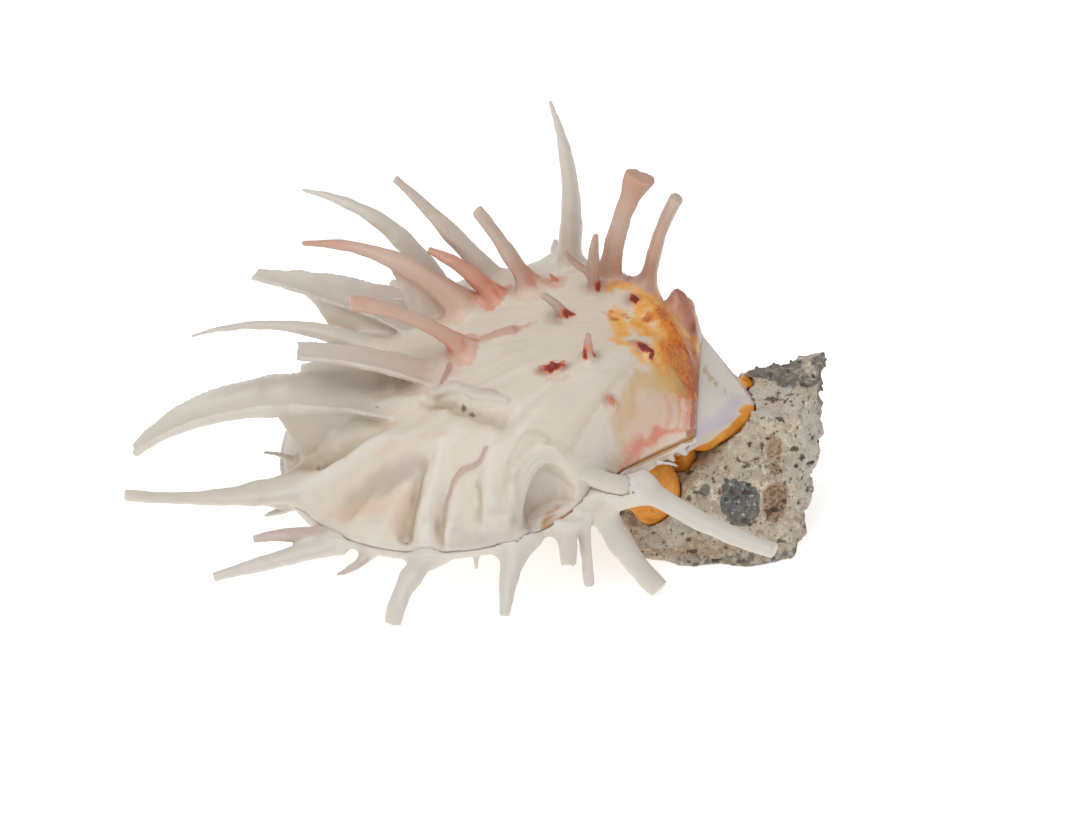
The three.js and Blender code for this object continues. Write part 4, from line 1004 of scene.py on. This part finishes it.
# Colour drawn on the upper valve: the mottled hinge end, the crease and streaks of the near ear, its edge,
# pinkish folds, painted shade along the valleys, and dark specks, each as out and far along a line, and the
# half width in mm
upperStrokes = [
    {"mask": "amber", "path": [(15.6, 11.6), (11.7, 12.8)], "width": 3, "strength": 0.8},
    {"mask": "amber", "path": [(14.4, 4.5), (14.4, 1), (13.4, -3.2)], "width": 2.8, "strength": 0.85},
    {"mask": "amber", "path": [(10.5, 1.6), (7.7, -0.6)], "width": 3.6, "strength": 0.95},
    {"mask": "amber", "path": [(13, -6.6), (8.2, -9), (4.6, -8.6)], "width": 3.6, "strength": (0.7, 1)},
    {"mask": "amber", "path": [(9.6, 9.6), (7, 8.4), (9.6, 5.6)], "width": 2.8, "strength": 1},
    {"mask": "amber", "path": [(5.6, 11), (4, 5), (3.4, -1), (4, -7)], "width": 5, "strength": 1.15},
    {"mask": "amber", "path": [(1.2, 10), (0.4, 2), (0.6, -6)], "width": 3.6, "strength": 1.1},
    {"mask": "deepOrange", "path": [(5, 7), (2.8, 2.5), (2.4, -2), (3.4, -7)], "width": 3.2,
     "strength": 0.95},
    {"mask": "deepOrange", "path": [(0.8, 6), (0.3, 1), (0.6, -4), (2.4, -8.4)], "width": 2.6,
     "strength": 1.15},
    {"mask": "deepOrange", "path": [(7, 3.8), (8.6, 2.9)], "width": 1.4, "strength": 1.1},
    {"mask": "deepOrange", "path": [(5.6, 5.6), (4.6, 4.4)], "width": 1.5, "strength": 1.1},
    {"mask": "umber", "path": [(16.8, 3.6), (15.6, 4.4), (13.8, 4.5), (12.4, 3)], "width": 0.7,
     "strength": 0.7},
    {"mask": "umber", "path": [(15.6, 2.4), (14.8, 2)], "width": 1, "strength": 0.8},
    {"mask": "umber", "path": [(8.5, 3.2), (7.4, 3.3)], "width": 0.9, "strength": 0.9},
    {"mask": "ochre", "path": [(2.6, -7), (6, -11), (9.6, -15), (11.4, -18.1), (13.1, -21), (15.3, -24.9),
     (17.2, -28)], "width": 2.2, "strength": (1.2, 0.5)},
    {"mask": "ochre", "path": [(2.4, -9.6), (6, -13), (9.6, -17.6)], "width": 3, "strength": (0.6, 0.2)},
    {"mask": "earTint", "path": [(1.5, -10), (5, -16), (11, -23)], "width": 7},
    {"mask": "coral", "path": [(15.6, -27.4), (13.6, -25.3), (10.2, -22.2), (6.9, -19.4)], "width": 1.3,
     "strength": (0.6, 1.2)},
    {"mask": "coral", "path": [(6.9, -19.4), (4.2, -18.2), (1, -17.8)], "width": 0.9, "strength": (1, 0.7)},
    {"mask": "coral", "path": [(1.4, -8), (1.4, -13), (1.6, -17.6)], "width": 1, "strength": 0.8},
    {"mask": "coral", "path": [(3, -9.6), (3, -14), (3.6, -18)], "width": 0.8, "strength": 0.6},
    {"mask": "coral", "path": [(5, -12.6), (5.2, -15.6), (5.8, -19)], "width": 0.8, "strength": 0.5},
    {"mask": "hingeLine", "path": [(0.4, 8), (0.4, -2), (0.5, -10), (0.4, -18.6)], "width": 0.8,
     "strength": (0.1, 1.2)},
    {"mask": "hingeLine", "path": [(1.8, 18), (1, 12.6), (0.5, 7)], "width": 2.2, "strength": (0.7, 0.4)},
    {"mask": "hingeLine", "path": [(-0.4, -18.4), (1.4, -18.9)], "width": 1.2, "strength": 1.4},
    {"mask": "blush", "path": [(64, -37), (70, -34.6), (78, -31.5)], "width": 3.6, "strength": 0.8},
    {"mask": "blush", "path": [(60, -36), (62.6, -40)], "width": 2.6, "strength": 0.8},
    {"mask": "blush", "path": [(50, -28), (58, -27), (66, -25.4)], "width": 2, "strength": 0.7},
    {"mask": "blush", "path": [(64.6, -19.6), (62.6, -20.2)], "width": 1.8, "strength": 0.9},
    {"mask": "blush", "path": [(80, -21), (84, -21.6), (88, -22)], "width": 2.4, "strength": 0.7},
    {"mask": "lavender", "path": [(58, -31), (63, -31.6), (68, -31)], "width": 4.2},
    {"mask": "lavender", "path": [(50, -46), (40, -46.6), (30, -44)], "width": 2.6},
    # Painted shade drawn along the valleys and the inner wall of the arched fold
    {"mask": "drawnShade", "path": [(69, -19.6), (76, -19), (83, -18.4), (90, -18)], "width": 3,
     "strength": (0.5, 0.9)},
    {"mask": "drawnShade", "path": [(55.6, -32), (57.4, -36.6), (60, -42)], "width": 2.4, "strength": (0.5, 1)},
    {"mask": "drawnShade", "path": [(56, -8), (64, -7), (72, -8), (84, -9)], "width": 3.6, "strength": (0.6, 0.9)},
    {"mask": "drawnShade", "path": [(53, -18), (48.5, -21.6), (43, -25.4), (36, -29)], "width": 2.6,
     "strength": (0.9, 0.2)},
    {"mask": "drawnShade", "path": [(29, -36), (32.4, -38.4), (35.6, -44)], "width": 3, "strength": (0.6, 0.9)},
    {"mask": "drawnShade", "path": [(42.9, -38.6), (43.7, -43.2)], "width": 1.2, "strength": 0.8},
    {"mask": "drawnShade", "path": [(49.8, -39.6), (51.4, -42), (53, -45.4)], "width": 1.4, "strength": 0.8},
    {"mask": "grime", "path": [(46.4, -21.6), (45.8, -22.2)], "width": 0.6},
    {"mask": "grime", "path": [(44.4, -23.8), (43.8, -24.4)], "width": 0.5},
    {"mask": "grime", "path": [(66.4, -14.8), (66.2, -15)], "width": 0.35},
]


# Edges of what is drawn on the valves: ramps in mm, or in shares of a lump's own size
upperMarks = {"shoulder": (1.5, 1.05), "seamUp": (1.3, 0.3), "earSeam": (19, 17), "archMiddle": 27,
              "archSeam": (6, 4)}
lowerMarks = {"flat": (1.5, 0.6), "flatEnd": 0.3, "crust": (1.5, 1.1), "edge": (0.8, 0.1),
              "outgrowth": (1, 1.5), "seamUp": (-1, -0.2), "seamOut": (17, 12), "seamStart": 0.5}
rayScale = {"along": 0.08, "up": 0.05}


def placeOnRays(points):  # follows the rays from the hinge: across a ray, then slowly along it
    out, far = -points[:, 0], points[:, 1]
    degrees = np.degrees(np.arctan2(far, out))
    distance = np.hypot(out, far)
    return np.column_stack([degrees * relief["rayPitch"], distance * rayScale["along"],
                            points[:, 2] * rayScale["up"]]) / 1000


def upperFacts(points, rails):  # the masks that the upper valve's material reads, for each point
    out, far, up = -points[:, 0], points[:, 1], points[:, 2]
    facts = spineFacts(points, rails)
    facts.update(strokeMasks(out, far, upperStrokes))
    facts["rayPlace"] = placeOnRays(points)
    fold = lineRelief(out, far)
    # Painted shade in the valleys and painted highlight on the crests of the folds
    facts["valleyShade"] = np.clip(-fold / relief["foldHeight"], 0, 1)
    facts["crestLight"] = np.clip(fold / relief["foldHeight"], 0, 1)
    marks = upperMarks
    facts["shoulder"] = ramp(lumpShare(points, shoulder), *marks["shoulder"])
    inArch = ramp(np.abs(out - marks["archMiddle"]), *marks["archSeam"])
    facts["seam"] = ramp(up, *marks["seamUp"]) * (far < 0) * np.maximum(ramp(out, *marks["earSeam"]), inArch)
    return facts


# Brown streak and mauve band on the flat area behind the hinge
cardinalStrokes = [
    {"mask": "scratch", "path": [(-1, 5.4), (-2.8, 3), (-4.6, 0.6), (-6.8, -0.4)], "width": 0.8,
     "strength": (1.2, 0.9)},
    {"mask": "mauve", "path": [(-0.6, -17.6), (-4, -11.6), (-8.6, -3.6)], "width": 4},
]


def lowerFacts(points, rails):  # the masks that the lower valve's material reads, for each point
    out, far, up = -points[:, 0], points[:, 1], points[:, 2]
    facts = spineFacts(points, rails)
    facts["rayPlace"] = placeOnRays(points)
    marks = lowerMarks
    facts["cardinal"] = ramp(np.abs(up - cardinalPlane(out)), *marks["flat"]) * (out < marks["flatEnd"])
    onCrust = np.maximum.reduce([ramp(lumpShare(points, lump), *marks["crust"]) for lump in crusts])
    facts["cardinal"] = facts["cardinal"] * (1 - onCrust)
    side = shellForm["hingeHalf"] * (1 - out / beak["out"])
    facts["cardinalEdge"] = facts["cardinal"] * ramp(side - far, *marks["edge"])
    for key, cover in strokeMasks(out, far, cardinalStrokes).items():
        facts[key] = facts["cardinal"] * cover
    clear = np.minimum.reduce([ramp(lumpShare(points, lump), *marks["outgrowth"]) for lump in outgrowths])
    clear = clear * (1 - facts["spine"])
    facts["stoneGlow"] = onCrust * clear * (1 - facts["cardinal"])
    facts["seam"] = clear * ramp(up, *marks["seamUp"]) * (far < 0)
    facts["seam"] = facts["seam"] * ramp(out, *marks["seamOut"]) * (out > marks["seamStart"])
    return facts


def lumpTurn(lump):
    return np.array(Euler((0, 0, math.radians(lump["turn"]))).to_matrix())


def lumpShare(points, lump):  # distance from the middle of a rounded lump, 1 on its surface
    return np.linalg.norm((points - lump["at"]) @ lumpTurn(lump) / lump["size"], axis=1)


# Rounded shoulder at the far end of the hinge, the outgrowths that carry the two near spines, the crusts by
# which the lower valve holds the stone, and the beak behind the hinge: places and half sizes along x, far and
# up, and turns in degrees. Rough is the height, size and seed of the swells on every lump.
shoulder = {"at": (-3.2, 16.6, 5.8), "size": (3.2, 4.8, 7.4), "turn": 0}
lumpMake = {"facets": 4, "rough": ((0.5, 3.5, 31), (0.25, 1.5, 32))}
# Reach in mm of the fillets where the lumps and the beak join a valve
joinReach = {"shoulder": 3, "lump": 2, "beak": 0.6}
outgrowths = [
    {"at": (-16.4, -32.8, -1.2), "size": (7.6, 3.4, 3.6), "turn": 17},
    {"at": (-24.2, -35.8, -2.2), "size": (6.8, 3.4, 3.6), "turn": 45},
]
crusts = [
    {"at": (-5.8, -9.4, -10.5), "size": (3.4, 2.8, 7.2), "turn": 0},
    {"at": (-12.5, -17.8, -13.5), "size": (6.6, 4.4, 8), "turn": 20},
    {"at": (4.3, -7.6, -7.8), "size": (8.2, 2.2, 2.4), "turn": 38},
    {"at": (9, 6.6, -6.6), "size": (1.8, 1.8, 1.4), "turn": 0},
    {"at": (-25, -17, -18), "size": (3.4, 3, 6.5), "turn": 0},
]
beak = {"out": -11, "up": -7, "pointHalf": 1.2, "thickness": 3.2, "roots": [(4, 19, -4.5), (12, 9, -11)]}


def cardinalPlane(out):  # height of the flat area behind the hinge
    drop = shellForm["hingeDrop"]
    return drop + np.minimum(out, 0) * (beak["up"] - drop) / beak["out"]


def lumpBlock(lump, voxel):
    work = bmesh.new()
    bmesh.ops.create_icosphere(work, subdivisions=lumpMake["facets"], radius=1)
    mesh = bpy.data.meshes.new("lump")
    work.to_mesh(mesh)
    work.free()
    points, triangles = meshArrays(mesh)
    smooth = (points * lump["size"]) @ lumpTurn(lump).T + lump["at"]
    points = smooth
    for height, size, seed in lumpMake["rough"]:
        points = points + height * lumps(smooth, size, seed)[:, None]
    return solidBlock(points, triangles, voxel)


def wallBlock(block, heightAt, side):  # distances from a valve's outer face and its rim, and heights
    x, y, z = blockAxes(block)
    out, far = np.meshgrid(-x, y, indexing="ij")
    height = heightAt(out, far)
    slope = np.sqrt(1 + sum(step ** 2 for step in np.gradient(height, block["voxel"])))
    slope = np.minimum(slope, shellForm["steepest"])
    wide = 1 if side > 0 else shellForm["lowerOverhang"]
    angle = np.arctan2(far, out)
    rim = np.hypot(out, far) - reachAt(angle) * wide
    rim = rim * ramp(np.abs(np.degrees(angle)), *shellForm["hingeSide"])
    rim = np.where(np.abs(angle) > math.pi / 2, -out, rim)
    wall = side * (z[None, None] - height[..., None]) / slope[..., None]
    return wall.astype(np.float32), rim.astype(np.float32)[..., None], z.astype(np.float32)[None, None]


# Room that each valve takes without its spines
valveRoom = {1: ((-96, -49, 0), (12, 49, 24)), -1: ((-96, -49, -20), (12, 49, 1))}


def blockAround(rails, side):  # room for a valve and all its spines
    low = np.min([rail["path"].min(0) - rail["width"].max() for rail in rails], axis=0)
    high = np.max([rail["path"].max(0) + rail["width"].max() for rail in rails], axis=0)
    least, most = valveRoom[side]
    return emptyBlock(np.minimum(low, least), np.maximum(high, most), grain["shell"])


def hollowOut(block, wall, rim):  # leaves a valve as a wall round an empty space
    inner = np.maximum(wall + shellForm["wall"], rim + shellForm["wall"])
    np.maximum(block["values"], -inner, out=block["values"])


def buildUpper(sweep, material):
    rails = spineRails(upperSpines, domeHeight)
    block = blockAround(rails, 1)
    wall, rim, z = wallBlock(block, domeHeight, 1)
    seam = shellForm["seamHalf"] - z
    block["values"][:] = np.maximum(wall, rim)
    joinBlock(block, lumpBlock(shoulder, grain["shell"]), joinReach["shoulder"])
    for rail, (points, triangles) in zip(rails, sweptSpines(rails, sweep, material)):
        spine = rail["spine"]
        gentle = min(spineMake["fillet"], rail["width"][0] * spineMake["flare"])
        if "wall" in spine or "path" in spine:
            gentle = spineMake["hoodFillet" if len(spine.get("path", [()])[0]) == 3 else "gutterFillet"]
        joinBlock(block, solidBlock(points, triangles, grain["shell"]), gentle)
        if "web" in spine:
            web = solidBlock(*webArrays(rail, domeHeight), grain["shell"])
            joinBlock(block, web, spineMake["gutterFillet"])
    hollowOut(block, wall, rim)
    np.maximum(block["values"], seam, out=block["values"])
    return block, rails


def buildLower(sweep, material, upper):
    rails = spineRails(lowerSpines, bowlHeight)
    block = blockAround(rails, -1)
    wall, rim, z = wallBlock(block, bowlHeight, -1)
    seam = z + shellForm["seamHalf"]
    block["values"][:] = np.maximum(np.maximum(wall, rim), seam)
    half, reach, drop = shellForm["hingeHalf"], beak["out"], shellForm["hingeDrop"]
    corners = [(0, half, drop), (0, -half, drop), (-reach, beak["pointHalf"], beak["up"]),
               (-reach, -beak["pointHalf"], beak["up"]), (-reach, 0, beak["up"] - beak["thickness"])]
    for out, far, up in beak["roots"]:
        corners += [(-out, far, up), (-out, -far, up)]
    joinBlock(block, solidBlock(*hullArrays(corners), grain["shell"]), joinReach["beak"])
    for lump in outgrowths + crusts:
        joinBlock(block, lumpBlock(lump, grain["shell"]), joinReach["lump"])
    out, far = np.meshgrid(-blockAxes(block)[0], blockAxes(block)[1], indexing="ij")
    lines = np.stack([out / relief["hingeRibWidth"], far / relief["hingeRibLength"]], -1)
    ribs = relief["hingeRib"] * np.abs(lumps(lines, 1, relief["hingeRibSeed"]))
    above = z - (cardinalPlane(out) - ribs)[..., None]
    above = np.where(out[..., None] < 0, above, -grain["band"] * grain["shell"])
    np.maximum(block["values"], above, out=block["values"])
    for rail, (points, triangles) in zip(rails, sweptSpines(rails, sweep, material)):
        gentle = min(spineMake["fillet"], rail["width"][0] * spineMake["lowerFlare"])
        joinBlock(block, solidBlock(points, triangles, grain["shell"]), gentle)
    hollowOut(block, wall, rim)
    here, new = overlap(block, upper)
    np.maximum(here, 2 * shellForm["seamHalf"] - new, out=here)
    return block, rails


# Corners of the angular stone from the middle of the hinge, and its lumps, pits, layers and one large pebble
stoneForm = {
    "corners": [
        (13.5, -5, -5), (24, -4, 1.5), (28.7, 10.4, 3.6), (22, 10, -0.5), (11, 9, -1.8),
        (3, -12, -11.5), (26.5, -5, -16), (-5, -17, -22), (26, 12, -12), (8, 17, -12), (-12, 17, -22),
        (-21.5, -15.5, -35), (-12, -22, -35), (8.5, -25, -35), (19.5, -20, -35), (24, -6, -35),
        (22, 17, -35), (4, 23, -35), (-16, 19, -35), (-24, 2, -35)],
    "swells": [(9, 1), (4, 0.9), (1.8, 0.5), (0.9, 0.26)], "swellSeed": 50, "layered": 1.6, "shrink": 0.4,
    "gap": 0.3, "floor": 0.02, "skin": 0.05, "pitSize": 1.3, "pitDepth": 0.7, "pitSeed": 61,
    "pitCut": (0.45, 0.8), "pitColour": (0.3, 0.7), "groove": 0.4, "grooveEdge": (0.16, 0.04),
    "patchRough": ((0.22, 3.2, 63), (0.12, 1.2, 64)), "patchSoft": {"pebble": 1.05},
    "patchEdge": (1.35, 0.8), "grainsPerSquare": 0.13, "grainSize": 0.55,
    "grainLeast": (0.3, 0.3, 0.3), "grainMost": (1.0, 0.8, 0.7), "grainTurn": (6.28, 6.28, 6.28),
    "grainGap": 1.5, "grainLift": (0.8, 2), "seed": 12,
}
# Patches of colour on the stone: middle and half sizes in world directions, from the middle of the hinge
stonePatches = [
    {"mask": "pebble", "at": (8.4, -17, -20.4), "size": (4.8, 7, 5.8)},
    {"mask": "pebble", "at": (1.2, -15.5, -18), "size": (1.5, 5, 1.8), "strength": 0.6},
    {"mask": "stain", "at": (16.4, -15.5, -21), "size": (2.8, 7, 4.6), "strength": 0.9},
    {"mask": "stain", "at": (16, -10, -12), "size": (1.5, 7, 6), "strength": 0.8},
    {"mask": "stain", "at": (-3, -21, -29), "size": (14, 9, 2.4), "strength": 0.6},
    {"mask": "stain", "at": (18, -3, -5), "size": (5, 6, 4), "strength": 0.6},
    {"mask": "pale", "at": (25.5, -6, -15), "size": (4, 9, 13)},
    {"mask": "pale", "at": (-8, -19, -27), "size": (5, 8, 3.6), "strength": 0.9},
    {"mask": "pale", "at": (16, -4, -3), "size": (8, 8, 3), "strength": 0.8},
    {"mask": "weathered", "at": (29, 9, -1), "size": (4, 8, 8)},
    {"mask": "weathered", "at": (17, 8, 0), "size": (13, 10, 1.5)},
    {"mask": "weathered", "at": (12, -24, -33), "size": (20, 9, 3), "strength": 0.7},
]


def patchShare(rel, patch):  # distance from the middle of a ragged patch, 1 on its outline
    rough = sum(height * lumps(rel, size, seed) for height, size, seed in stoneForm["patchRough"])
    return np.linalg.norm((rel - patch["at"]) / patch["size"], axis=1) + rough


def buildStone(upper, lower):
    form = stoneForm
    corners = np.array(form["corners"]) + placing["hinge"]
    block = solidBlock(*hullArrays(corners), grain["stone"])
    near = np.abs(block["values"]) < grain["band"] * grain["stone"] - form["skin"]
    x, y, z = (axis[cell] for axis, cell in zip(blockAxes(block), np.nonzero(near)))
    points = np.column_stack([x, y, z])
    values = block["values"][near] + form["shrink"]
    for index, (size, height) in enumerate(form["swells"]):
        values -= height * lumps(points * (1, 1, form["layered"]), size, form["swellSeed"] + index)
    values += form["pitDepth"] * ramp(lumps(points, form["pitSize"], form["pitSeed"]), *form["pitCut"])
    fromOutline = np.abs(patchShare(points - placing["hinge"], stonePatches[0]) - 1)
    values += form["groove"] * ramp(fromOutline, *form["grooveEdge"])
    inShell = toShell(points)
    for valve in (upper, lower):
        values = np.maximum(values, form["gap"] - readBlock(valve, inShell))
    block["values"][near] = values
    zAll = blockAxes(block)[2].astype(np.float32)[None, None]
    np.maximum(block["values"], form["floor"] - zAll, out=block["values"])
    return block


def strewnFacts(points, upper, lower):  # where grains may lie: not against the valves, and not underneath
    inShell = toShell(points)
    clear = np.minimum(readBlock(upper, inShell), readBlock(lower, inShell))
    lifted = ramp(points[:, 2], *stoneForm["grainLift"])
    return {"strewn": ramp(clear, stoneForm["grainGap"], 2 * stoneForm["grainGap"]) * lifted}


def stoneFacts(points):
    form = stoneForm
    facts = {"pit": ramp(lumps(points, form["pitSize"], form["pitSeed"]), *form["pitColour"])}
    for patch in stonePatches:
        outer, inner = form["patchEdge"]
        outer = form["patchSoft"].get(patch["mask"], outer)
        cover = patch.get("strength", 1) * ramp(patchShare(points - placing["hinge"], patch), outer, inner)
        facts[patch["mask"]] = np.maximum(facts.get(patch["mask"], 0), cover)
    return facts


def scatterGrains():  # strews small rounded grains over a surface and makes them real
    tree, given, result = newTree("scatterGrains", [
        ("Density", "Float"), ("Size", "Float"), ("Seed", "Int"), ("Material", "Material")])
    strewn = addNode(tree, "GeometryNodeInputNamedAttribute", {"Name": "strewn"}, data_type="FLOAT")
    density = addNode(tree, "ShaderNodeMath", {0: strewn.outputs[0], 1: given["Density"]},
                      operation="MULTIPLY")
    spots = addNode(tree, "GeometryNodeDistributePointsOnFaces", {
        "Mesh": given["Geometry"], "Density": density.outputs[0], "Seed": given["Seed"]})
    grainBall = addNode(tree, "GeometryNodeMeshIcoSphere", {"Radius": given["Size"], "Subdivisions": 2})
    size = addNode(tree, "FunctionNodeRandomValue", {
        0: stoneForm["grainLeast"], 1: stoneForm["grainMost"], "Seed": given["Seed"]},
        data_type="FLOAT_VECTOR")
    turned = addNode(tree, "FunctionNodeRandomValue", {
        0: (0, 0, 0), 1: stoneForm["grainTurn"], "Seed": given["Seed"]}, data_type="FLOAT_VECTOR")
    placed = addNode(tree, "GeometryNodeInstanceOnPoints", {
        "Points": spots.outputs["Points"], "Instance": grainBall.outputs["Mesh"], "Scale": size.outputs[0],
        "Rotation": turned.outputs[0]})
    tone = addNode(tree, "FunctionNodeRandomValue", {"Seed": given["Seed"]}, data_type="FLOAT")
    toned = addNode(tree, "GeometryNodeStoreNamedAttribute", {
        "Geometry": placed.outputs["Instances"], "Name": "grainTone", "Value": tone.outputs[1]},
        data_type="FLOAT", domain="INSTANCE")
    both = addNode(tree, "GeometryNodeJoinGeometry")
    tree.links.new(given["Geometry"], both.inputs[0])
    tree.links.new(toned.outputs["Geometry"], both.inputs[0])
    return finishTree(tree, both.outputs[0], given, result)


upperMaterial = paintedMaterial("satinCalciteUpper", upperPaint)
lowerMaterial = paintedMaterial("satinCalciteLower", lowerPaint)
stoneMaterial = paintedMaterial("gritConglomerate", stonePaint)
sweep = spineSweep()

upperField, upperRails = buildUpper(sweep, upperMaterial)
print("upper valve worked out", upperField["values"].shape)
lowerField, lowerRails = buildLower(sweep, lowerMaterial, upperField)
print("lower valve worked out", lowerField["values"].shape)
stoneField = buildStone(upperField, lowerField)
print("stone worked out", stoneField["values"].shape)


def valvePiece(name, field, rails, factsOf, material):  # one valve's mesh with its colours, where it stands
    piece = blockMesh(name, field, grain["valveTriangles"])
    points = meshArrays(piece.data)[0]
    dressMesh(piece.data, formFacts(piece.data, points, field))
    dressMesh(piece.data, factsOf(points, rails))
    placePiece(piece, toWorld(points), material)
    print(name, "meshed:", len(piece.data.polygons), "triangles")
    return piece


upperPiece = valvePiece("upperValve", upperField, upperRails, upperFacts, upperMaterial)
lowerPiece = valvePiece("lowerValve", lowerField, lowerRails, lowerFacts, lowerMaterial)
stonePiece = blockMesh("stoneLump", stoneField, grain["stoneTriangles"])
points = meshArrays(stonePiece.data)[0]
dressMesh(stonePiece.data, strewnFacts(points, upperField, lowerField))
stonePiece.data = grown(stonePiece.data, scatterGrains(), {
    "Density": stoneForm["grainsPerSquare"], "Size": stoneForm["grainSize"], "Seed": stoneForm["seed"],
    "Material": stoneMaterial})
points = meshArrays(stonePiece.data)[0]
dressMesh(stonePiece.data, formFacts(stonePiece.data, points, stoneField))
dressMesh(stonePiece.data, stoneFacts(points))
placePiece(stonePiece, points, stoneMaterial)
print("stone meshed:", len(stonePiece.data.polygons), "triangles")

for piece, node, slot in (
        (upperPiece, "upper_valve", "upper_shell"), (lowerPiece, "lower_valve", "lower_shell"),
        (stonePiece, "stone", "stone")):
    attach(piece, "root")
    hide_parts(node)

# Plain pale floor, soft light, and the camera at the photograph's angle: metres, degrees, and mm for the lens
studio = {"cameraPlace": (0.0132625, -0.556226, 0.3192616), "cameraTilt": 62, "lens": 95, "sensor": 36,
          "floorHalf": 4.0, "paper": "#F6F6F6", "paperRoughness": 0.9, "paperGlow": 0.5, "horizon": 0.34,
          "zenith": 0.68, "keyPower": 4, "keySize": 0.7, "keyPlace": (-0.35, -0.45, 0.9)}
floorMesh = bpy.data.meshes.new("floor")
half = studio["floorHalf"]
floorCorners = [(-half, -half, 0), (half, -half, 0), (half, half, 0), (-half, half, 0)]
floorMesh.from_pydata(floorCorners, [], [(0, 1, 2, 3)])
floor = linked("floor", floorMesh)
paper = bpy.data.materials.new("matWhitePaper")
paper.use_nodes = True
paperSurface = paper.node_tree.nodes["Principled BSDF"]
for label, value in (("Base Color", linear(studio["paper"])), ("Roughness", studio["paperRoughness"]),
                     ("Emission Color", (1, 1, 1, 1)), ("Emission Strength", studio["paperGlow"])):
    paperSurface.inputs[label].default_value = value
floorMesh.materials.append(paper)

world = bpy.data.worlds.new("softbox")
world.use_nodes = True
# Brighter overhead than near the horizon, like a light tent
direction = addNode(world.node_tree, "ShaderNodeTexCoord").outputs["Generated"]
upwards = addNode(world.node_tree, "ShaderNodeSeparateXYZ", {0: direction}).outputs["Z"]
brightness = addNode(world.node_tree, "ShaderNodeMapRange", {
    "Value": upwards, "To Min": studio["horizon"], "To Max": studio["zenith"]}).outputs[0]
background = world.node_tree.nodes["Background"]
background.inputs["Color"].default_value = (1, 1, 1, 1)
world.node_tree.links.new(brightness, background.inputs["Strength"])
bpy.context.scene.world = world
bpy.context.scene.view_settings.view_transform = "Standard"

key = bpy.data.lights.new("key", "AREA")
key.energy = studio["keyPower"]
key.size = studio["keySize"]
keyLight = linked("key", key)
keyLight.location = studio["keyPlace"]
keyLight.rotation_euler = (-keyLight.location).to_track_quat("-Z", "Y").to_euler()

lens = bpy.data.cameras.new("camera")
lens.lens = studio["lens"]
lens.sensor_width = studio["sensor"]
camera = linked("camera", lens)
camera.location = studio["cameraPlace"]
camera.rotation_euler = (math.radians(studio["cameraTilt"]), 0, 0)
bpy.context.scene.camera = camera
